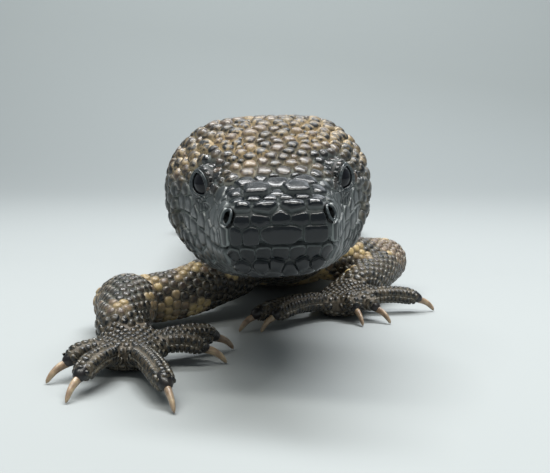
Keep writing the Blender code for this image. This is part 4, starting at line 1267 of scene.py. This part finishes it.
# hands and feet have the darker tone: partly their own colour, partly painted shade like the head's shadow on
# the left hand
leg_tone = np.clip((0.07 + 0.19 * spread) * (1 - 0.6 * foot) + 0.75 * yellow, 0, 1)
tone = np.where(of_leg, leg_tone, tone)

# how pale the rims are: a painted highlight, standing for light caught on the scutes' edges
rim_highlight = np.where(of_head, 0.9, 0.12)
rim_highlight = np.where(snout & (aside < 11), 0.45, rim_highlight)
rim_highlight = np.where(of_head, rim_highlight * (1 - 0.6 * lore_share(local)), rim_highlight)
# fewer pale rims on hands and feet, whose darkness is partly painted shade
rim_highlight = np.where(of_leg, 0.75 - 0.45 * foot, rim_highlight)
rim_highlight = np.where(polished & (up < -3.5), 0.1, rim_highlight)

# how far they are greyed, partly by wear and partly as painted light from the pale room at the sides and a
# painted sheen on the lore: not at all at the polished front, most on the flanks of the snout
greying = np.where(polished, 0.0, np.where(of_head & ~crown & (aside > 9.5), 0.62, 0.3))
greying = np.maximum(greying, 0.85 * lore)


UV_PATCH = 0.0015  # half width of a scute's own place on the unwrap
HEAD_SPAN = 66.0  # from the snout to the last scute of the head, at most


def root_uv(group, place):
    """Where each scute's root lies on an unwrap of the skin: three charts across and four up, one for
    each part of the body, each with a margin."""
    index = GROUPS.index(group)
    corner = np.array((index % 3, index // 3)) / (3.0, 4.0)
    if group == "head":
        at = to_head(place)
        angle = np.arctan2(at[:, 0], at[:, 2] - HEAD_AXIS) / (2 * math.pi) + 0.5
        length = np.clip(at[:, 1] / HEAD_SPAN, 0, 1)
    else:
        low, high = place.min(axis=0), place.max(axis=0)
        middle = (low + high) / 2 if "leg" in group else np.array((0, 0, 0))
        centre = middle[0] if "leg" in group else np.interp(place[:, 1], spine[:, 2], spine[:, 1])
        level = 8.0 if "leg" in group else 15.0
        angle = np.arctan2(place[:, 0] - centre, place[:, 2] - level) / (2 * math.pi) + 0.5
        length = (place[:, 1] - low[1]) / (high[1] - low[1])
    return corner + np.stack(((0.04 + 0.92 * angle) / 3, (0.04 + 0.92 * length) / 4), 1)


# hard keratin over bone: waxy to glossy, clouded at 2.4 mm and grained at 0.5 mm, with pale rims (a painted
# highlight of light caught on the edges, and sand where dusty), greyed on the flanks of the snout partly by
# wear and partly as painted light, and on the crown with sand of about a millimetre in the creases
scute_finish, tree, shader = new_material("keratin_over_bone")
tone_out, edge_out, dust_out, rim_highlight_out = read_paint(tree)
cloudy = object_noise(tree, 2.4, 2.0)
grain = object_noise(tree, 0.5, 4.0)
warm = calculate(tree, "MULTIPLY_ADD", cloudy, 0.22, -0.11)
SCUTE_TONES = (
    (0.0, "#070e14"), (0.12, "#1a1d1f"), (0.3, "#3c3531"),
    (0.5, "#65564a"), (0.74, "#8d7a56"), (1.0, "#bfa974"),
)
body = colour_ramp(tree, calculate(tree, "ADD", tone_out, warm, use_clamp=True), SCUTE_TONES)
# grey mixed over the scutes' colour: partly wear, partly painted side light and sheen on the flanks of the
# snout and the lore
greying_out = add_node(tree, "ShaderNodeAttribute", attribute_name="greying").outputs["Fac"]
greyed = calculate(tree, "MULTIPLY_ADD", greying_out, 0.8, -0.24, use_clamp=True)
body = mix_colours(tree, greyed, body, "#5a6162")
grit = smooth_share(tree, object_noise(tree, 1.1, 5.0), 0.43, 0.59)
low_side = calculate(tree, "MULTIPLY_ADD", edge_out, 0.75, 0.25)
dusting = calculate(tree, "MULTIPLY", dust_out, low_side)
body = mix_colours(tree, calculate(tree, "MULTIPLY", grit, dusting), body, "#b09b76")
# the pale rim: a painted highlight in pale grey, and sand where the scute is dusty
rim = smooth_share(tree, edge_out, 0.66, 0.96)
rim_share = calculate(tree, "MULTIPLY", rim, calculate(tree, "MAXIMUM", dust_out, rim_highlight_out))
rim_colour = mix_colours(tree, dust_out, "#858c8b", "#bfae8f")
tree.links.new(mix_colours(tree, rim_share, body, rim_colour), shader.inputs["Base Color"])
polish = calculate(tree, "MULTIPLY_ADD", greying_out, 0.25, 0.06)
rough = calculate(tree, "MULTIPLY_ADD", cloudy, 0.22, polish)
rough = calculate(tree, "MULTIPLY_ADD", dust_out, 0.2, rough)
tree.links.new(rough, shader.inputs["Roughness"])
add_bump(tree, shader, grain, 0.06, 0.8)

# every group's scutes are one mesh: rings of points from the foot of each scute to its top
for group in GROUPS:
    pick = np.nonzero((S["group"] == GROUPS.index(group)) & (S["hole"] == 0))[0]
    around = 22 if group == "head" else 10 if "leg" in group else 12
    turns = turns_of(around)[None]
    theta = np.arctan2(S["wide"][pick, None] * np.sin(turns), S["long"][pick, None] * np.cos(turns))
    place, normal, along, across = (S[key][pick] for key in ("place", "normal", "along", "across"))
    shape = outlines(pick, theta)
    shape = np.maximum(shape - GAP * S["flat"][pick, None], 0.4 * shape)
    n, ring_count = len(pick), len(PLATE) - 1
    flat = S["flat"][pick]
    height = np.minimum(S["height"][pick], (1.1 if group == "head" else 0.85) * shape.mean(axis=1))
    profile = PEBBLE[None] * (1 - flat[:, None]) + PLATE[None] * flat[:, None]
    shares = PEBBLE_SHARES[None] * (1 - flat[:, None]) + PLATE_SHARES[None] * flat[:, None]
    bend = np.full(n, 0.0 if group == "head" else 1 / BODY_BEND)  # the head's own form bends its scutes
    if "leg" in group:
        bend = np.where(S["rank"][pick] == TOE_RANK, 1 / TOE_BEND, 1 / LEG_BEND)
    points = np.empty((n, ring_count, around, 3))
    for r in range(ring_count):
        a = shape * shares[:, r, None] * np.cos(theta)
        b = shape * shares[:, r, None] * np.sin(theta)
        level = profile[:, r, None] * height[:, None] - b**2 * bend[:, None] / 2
        spot = place[:, None] + along[:, None] * a[..., None] + across[:, None] * b[..., None]
        points[:, r] = spot + normal[:, None] * level[..., None]
    tops = place + normal * height[:, None]
    if group == "head":
        flat_place, flat_normal = on_head(to_head(points.reshape(-1, 3)))
        lift = (profile[:, :-1] * height[:, None]).repeat(around, axis=1).reshape(-1)
        points = to_world(flat_place + flat_normal * lift[:, None]).reshape(points.shape)
    points[..., 2] = np.maximum(points[..., 2], 0.02)
    tops[:, 2] = np.maximum(tops[:, 2], 0.02)
    ring_size = ring_count * around
    per = ring_size + 1  # points of a scute
    every = np.concatenate((points.reshape(n, ring_size, 3), tops[:, None]), axis=1).reshape(-1, 3)
    one = []
    for r in range(ring_count - 1):
        for k in range(around):
            m = (k + 1) % around
            low, high = r * around, (r + 1) * around
            one += [(low + k, low + m, high + m), (low + k, high + m, high + k)]
    last = (ring_count - 1) * around
    one += [(last + k, last + (k + 1) % around, ring_size) for k in range(around)]
    triangles = (np.array(one)[None] + (np.arange(n) * per)[:, None, None]).reshape(-1, 3)
    mesh = bpy.data.meshes.new("scutes_" + group)
    mesh.vertices.add(len(every))
    mesh.vertices.foreach_set("co", (every * MM).astype(np.float32).ravel())
    mesh.loops.add(len(triangles) * 3)
    mesh.loops.foreach_set("vertex_index", triangles.astype(np.int32).ravel())
    mesh.polygons.add(len(triangles))
    mesh.polygons.foreach_set("loop_start", np.arange(0, len(triangles) * 3, 3, dtype=np.int32))
    mesh.polygons.foreach_set("loop_total", np.full(len(triangles), 3, np.int32))
    mesh.update(calc_edges=True)
    level = np.concatenate((np.repeat(PEBBLE_SHARES[:-1], around), [0.0]))
    edge = np.tile(np.clip(level, 0, 1) ** 2, n)
    layer = mesh.attributes.new(name="greying", type="FLOAT", domain="POINT")
    layer.data.foreach_set("value", np.repeat(greying[pick], per).astype(np.float32))
    tones, dusts, rims = (np.repeat(values[pick], per) for values in (tone, dust, rim_highlight))
    paint_points(mesh, tones, edge, dusts, rims)
    spin = np.concatenate((np.tile(turns[0], ring_count), [0.0]))
    patch = UV_PATCH * np.stack((np.cos(spin) * level, np.sin(spin) * level), 1)
    uv_points = (root_uv(group, place)[:, None] + patch[None]).reshape(-1, 2)
    uv_layer = mesh.uv_layers.new(name="OFBake")
    uv_layer.data.foreach_set("uv", uv_points[triangles.ravel()].astype(np.float32).ravel())
    dress(add_object("scutes_" + group, mesh), scute_finish)


# Eyes. Wet dark balls of soft tissue under a clear smooth cornea, each set in its socket behind the
# thin bare rims and folds of its lids.
# near-black, with a sharp highlight on the film of tears
eye_finish, *_ = new_material("wet_cornea", Base_Color=linear("#0a0c13"), Roughness=0.07, IOR=1.38)
# damp bare skin: dark slate grey, mottled at 0.5 mm, with a soft shine
rim_finish, tree, shader = new_material("bare_lid_skin", Roughness=0.24)
rim_colour = colour_ramp(tree, object_noise(tree, 0.5), ((0.3, "#24292c"), (0.7, "#4a5255")))
tree.links.new(rim_colour, shader.inputs["Base Color"])


def closed_tube(name, line, thick, middle, count=10):
    """A tube along a closed line round a middle point, all in the head's own directions."""
    ahead = unit(np.roll(line, -1, axis=0) - np.roll(line, 1, axis=0))
    outwards = unit(line - middle)
    flank = unit(np.cross(outwards, ahead))
    turn = turns_of(count)[:, None]
    aside, away = (flank * thick[:, None])[:, None], (outwards * thick[:, None])[:, None]
    rings = line[:, None] + np.cos(turn) * aside + np.sin(turn) * away
    faces = []
    for i in range(len(line)):
        low, high = i * count, (i + 1) % len(line) * count
        faces += [(low + j, low + (j + 1) % count, high + (j + 1) % count, high + j) for j in range(count)]
    made = new_mesh_object(name, to_world(rings.reshape(-1, 3)) * MM, faces)
    face_outwards(made.data)
    return made


# the folds of a lid: share of the opening, distance from the eye's middle and half thickness
LID_FOLDS = ((1.0, 3.86, 0.24), (1.2, 4.1, 0.36))
for side, name in ((1, "left"), (-1, "right")):
    across, up, out = eye_axes(side)
    centre = EYE * (side, 1, 1)
    work = bmesh.new()
    bmesh.ops.create_uvsphere(work, u_segments=48, v_segments=32, radius=EYE_RADIUS)
    mesh = bpy.data.meshes.new("eyeball_" + name)
    for vertex in work.verts:
        vertex.co = Vector(to_world(centre + np.array(vertex.co)) * MM)
    work.to_mesh(mesh)
    work.free()
    eye = add_object("eyeball_" + name, mesh)
    dress(eye, eye_finish)
    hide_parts("eye_" + name)
    folds = []
    for spread, distance, thick in LID_FOLDS:
        angles = np.linspace(0, 2 * math.pi, 64, endpoint=False)
        flatwise = np.sin(angles) * np.abs(np.sin(angles)) ** 0.3 * OPENING[0] * spread
        upright = np.cos(angles) * OPENING[1] * spread
        offset = flatwise[:, None] * across + upright[:, None] * up
        forward = np.sqrt(np.maximum(distance**2 - (offset**2).sum(axis=1), 0.3))
        line = centre + offset + out * forward[:, None]
        swell = 0.75 + 0.35 * np.clip(np.cos(angles - side * 0.9), 0, 1)  # the upper fold is the thicker one
        folds.append(closed_tube("lid_fold", line, thick * swell, centre))
    dress(join_objects("lids_" + name, folds), rim_finish)


# Nostrils. Each pit of the hide has a thin raised rim of the same bare skin as the lids, one closed
# ring on either side of the snout.
RIM_WIDE, RIM_HIGH, RIM_THICK, RIM_LIFT = 1.1, 1.8, 0.3, 0.15
nostril_rims = []
for side in (1, -1):
    centre, out = (row[0] for row in on_head([NOSTRIL * (side, 1, 1)]))
    across = unit(np.cross((0, 0, 1), out))
    up = np.cross(out, across)
    angles = np.linspace(0, 2 * math.pi, 40, endpoint=False)[:, None]
    line, _ = on_head(centre + np.cos(angles) * across * RIM_WIDE + np.sin(angles) * up * RIM_HIGH)
    thick = np.full(len(line), RIM_THICK)
    nostril_rims.append(closed_tube("nostril_rim", line + RIM_LIFT * out, thick, centre - 2.0 * out))
dress(join_objects("nostril_rims", nostril_rims), rim_finish)


# Claws. Each toe ends in a smooth black cap of horn, and from its lower lip comes a curved blunt claw
# of translucent horn, taller than wide.
# horn polished on sand and bark: black with brown clouds of about 2 mm, and glossy
cap_finish, tree, shader = new_material("polished_black_horn", Roughness=0.3)
cap_colour = colour_ramp(tree, object_noise(tree, 2.0), ((0.35, "#0c0e11"), (0.7, "#241f1e")))
tree.links.new(cap_colour, shader.inputs["Base Color"])
# light horn that lets light through: pale brown with clouds of about 2 mm, and glossy
claw_finish, tree, shader = new_material(
    "translucent_horn", Roughness=0.32, IOR=1.54,
    Subsurface_Weight=0.3, Subsurface_Radius=(0.9, 0.6, 0.4), Subsurface_Scale=0.001,
)
claw_tones = ((0.3, "#705c4b"), (0.5, "#95806a"), (0.72, "#b8a585"))
tree.links.new(colour_ramp(tree, object_noise(tree, 2.2), claw_tones), shader.inputs["Base Color"])
# rings of a toe cap: how far before the toe's last joint, and their share of its radius
CAP_STOPS = np.array((-3.0, -2.6, -1.9, -1.0, 0.0, 0.7, 1.15, 1.4))
CAP_SHARES = np.array((0.6, 0.78, 0.86, 0.86, 0.78, 0.64, 0.44, 0.2))
# a claw's half thickness in mm, by the share of its length from the root
CLAW_TAPER = (0, 0.3, 0.7, 0.9, 0.97, 1.0), (0.98, 0.95, 0.74, 0.52, 0.36, 0.12)
claw_parts, cap_parts = [], []
for key in LEGS:
    for line, radii, root, tip, ahead in toe_lines(key):
        nod = unit(ahead + (0, 0, -0.35))
        stops, bulge = CAP_STOPS, CAP_SHARES * radii[-1]
        cap_line = root + (0, 0, 0.15) + nod * stops[:, None] + (0, 0, 1.0) * (-stops[:, None] * 0.16)
        cap_parts.append(closed_loft("cap", tube(cap_line, bulge, bulge * 0.98, 24)))
        start = root + ahead * 0.2 + (0, 0, -0.45)
        knee = start + ahead * math.hypot(*(tip - start)[:2]) * 0.62 + (0, 0, -0.12 * (start[2] - tip[2]))
        u = np.linspace(0, 1, 16)[:, None]
        claw_line = start * (1 - u) ** 2 + knee * 2 * u * (1 - u) + tip * u**2
        thick = np.interp(u[:, 0], *CLAW_TAPER)
        claw_parts.append(closed_loft("claw", tube(claw_line, thick * 0.82, thick * 1.05, 14)))
for name, parts, finish in (("toe_caps", cap_parts, cap_finish), ("claws", claw_parts, claw_finish)):
    piece = join_objects(name, parts)
    for vertex in piece.data.vertices:
        vertex.co.z = max(vertex.co.z, 0.02 * MM)
    dress(piece, finish)
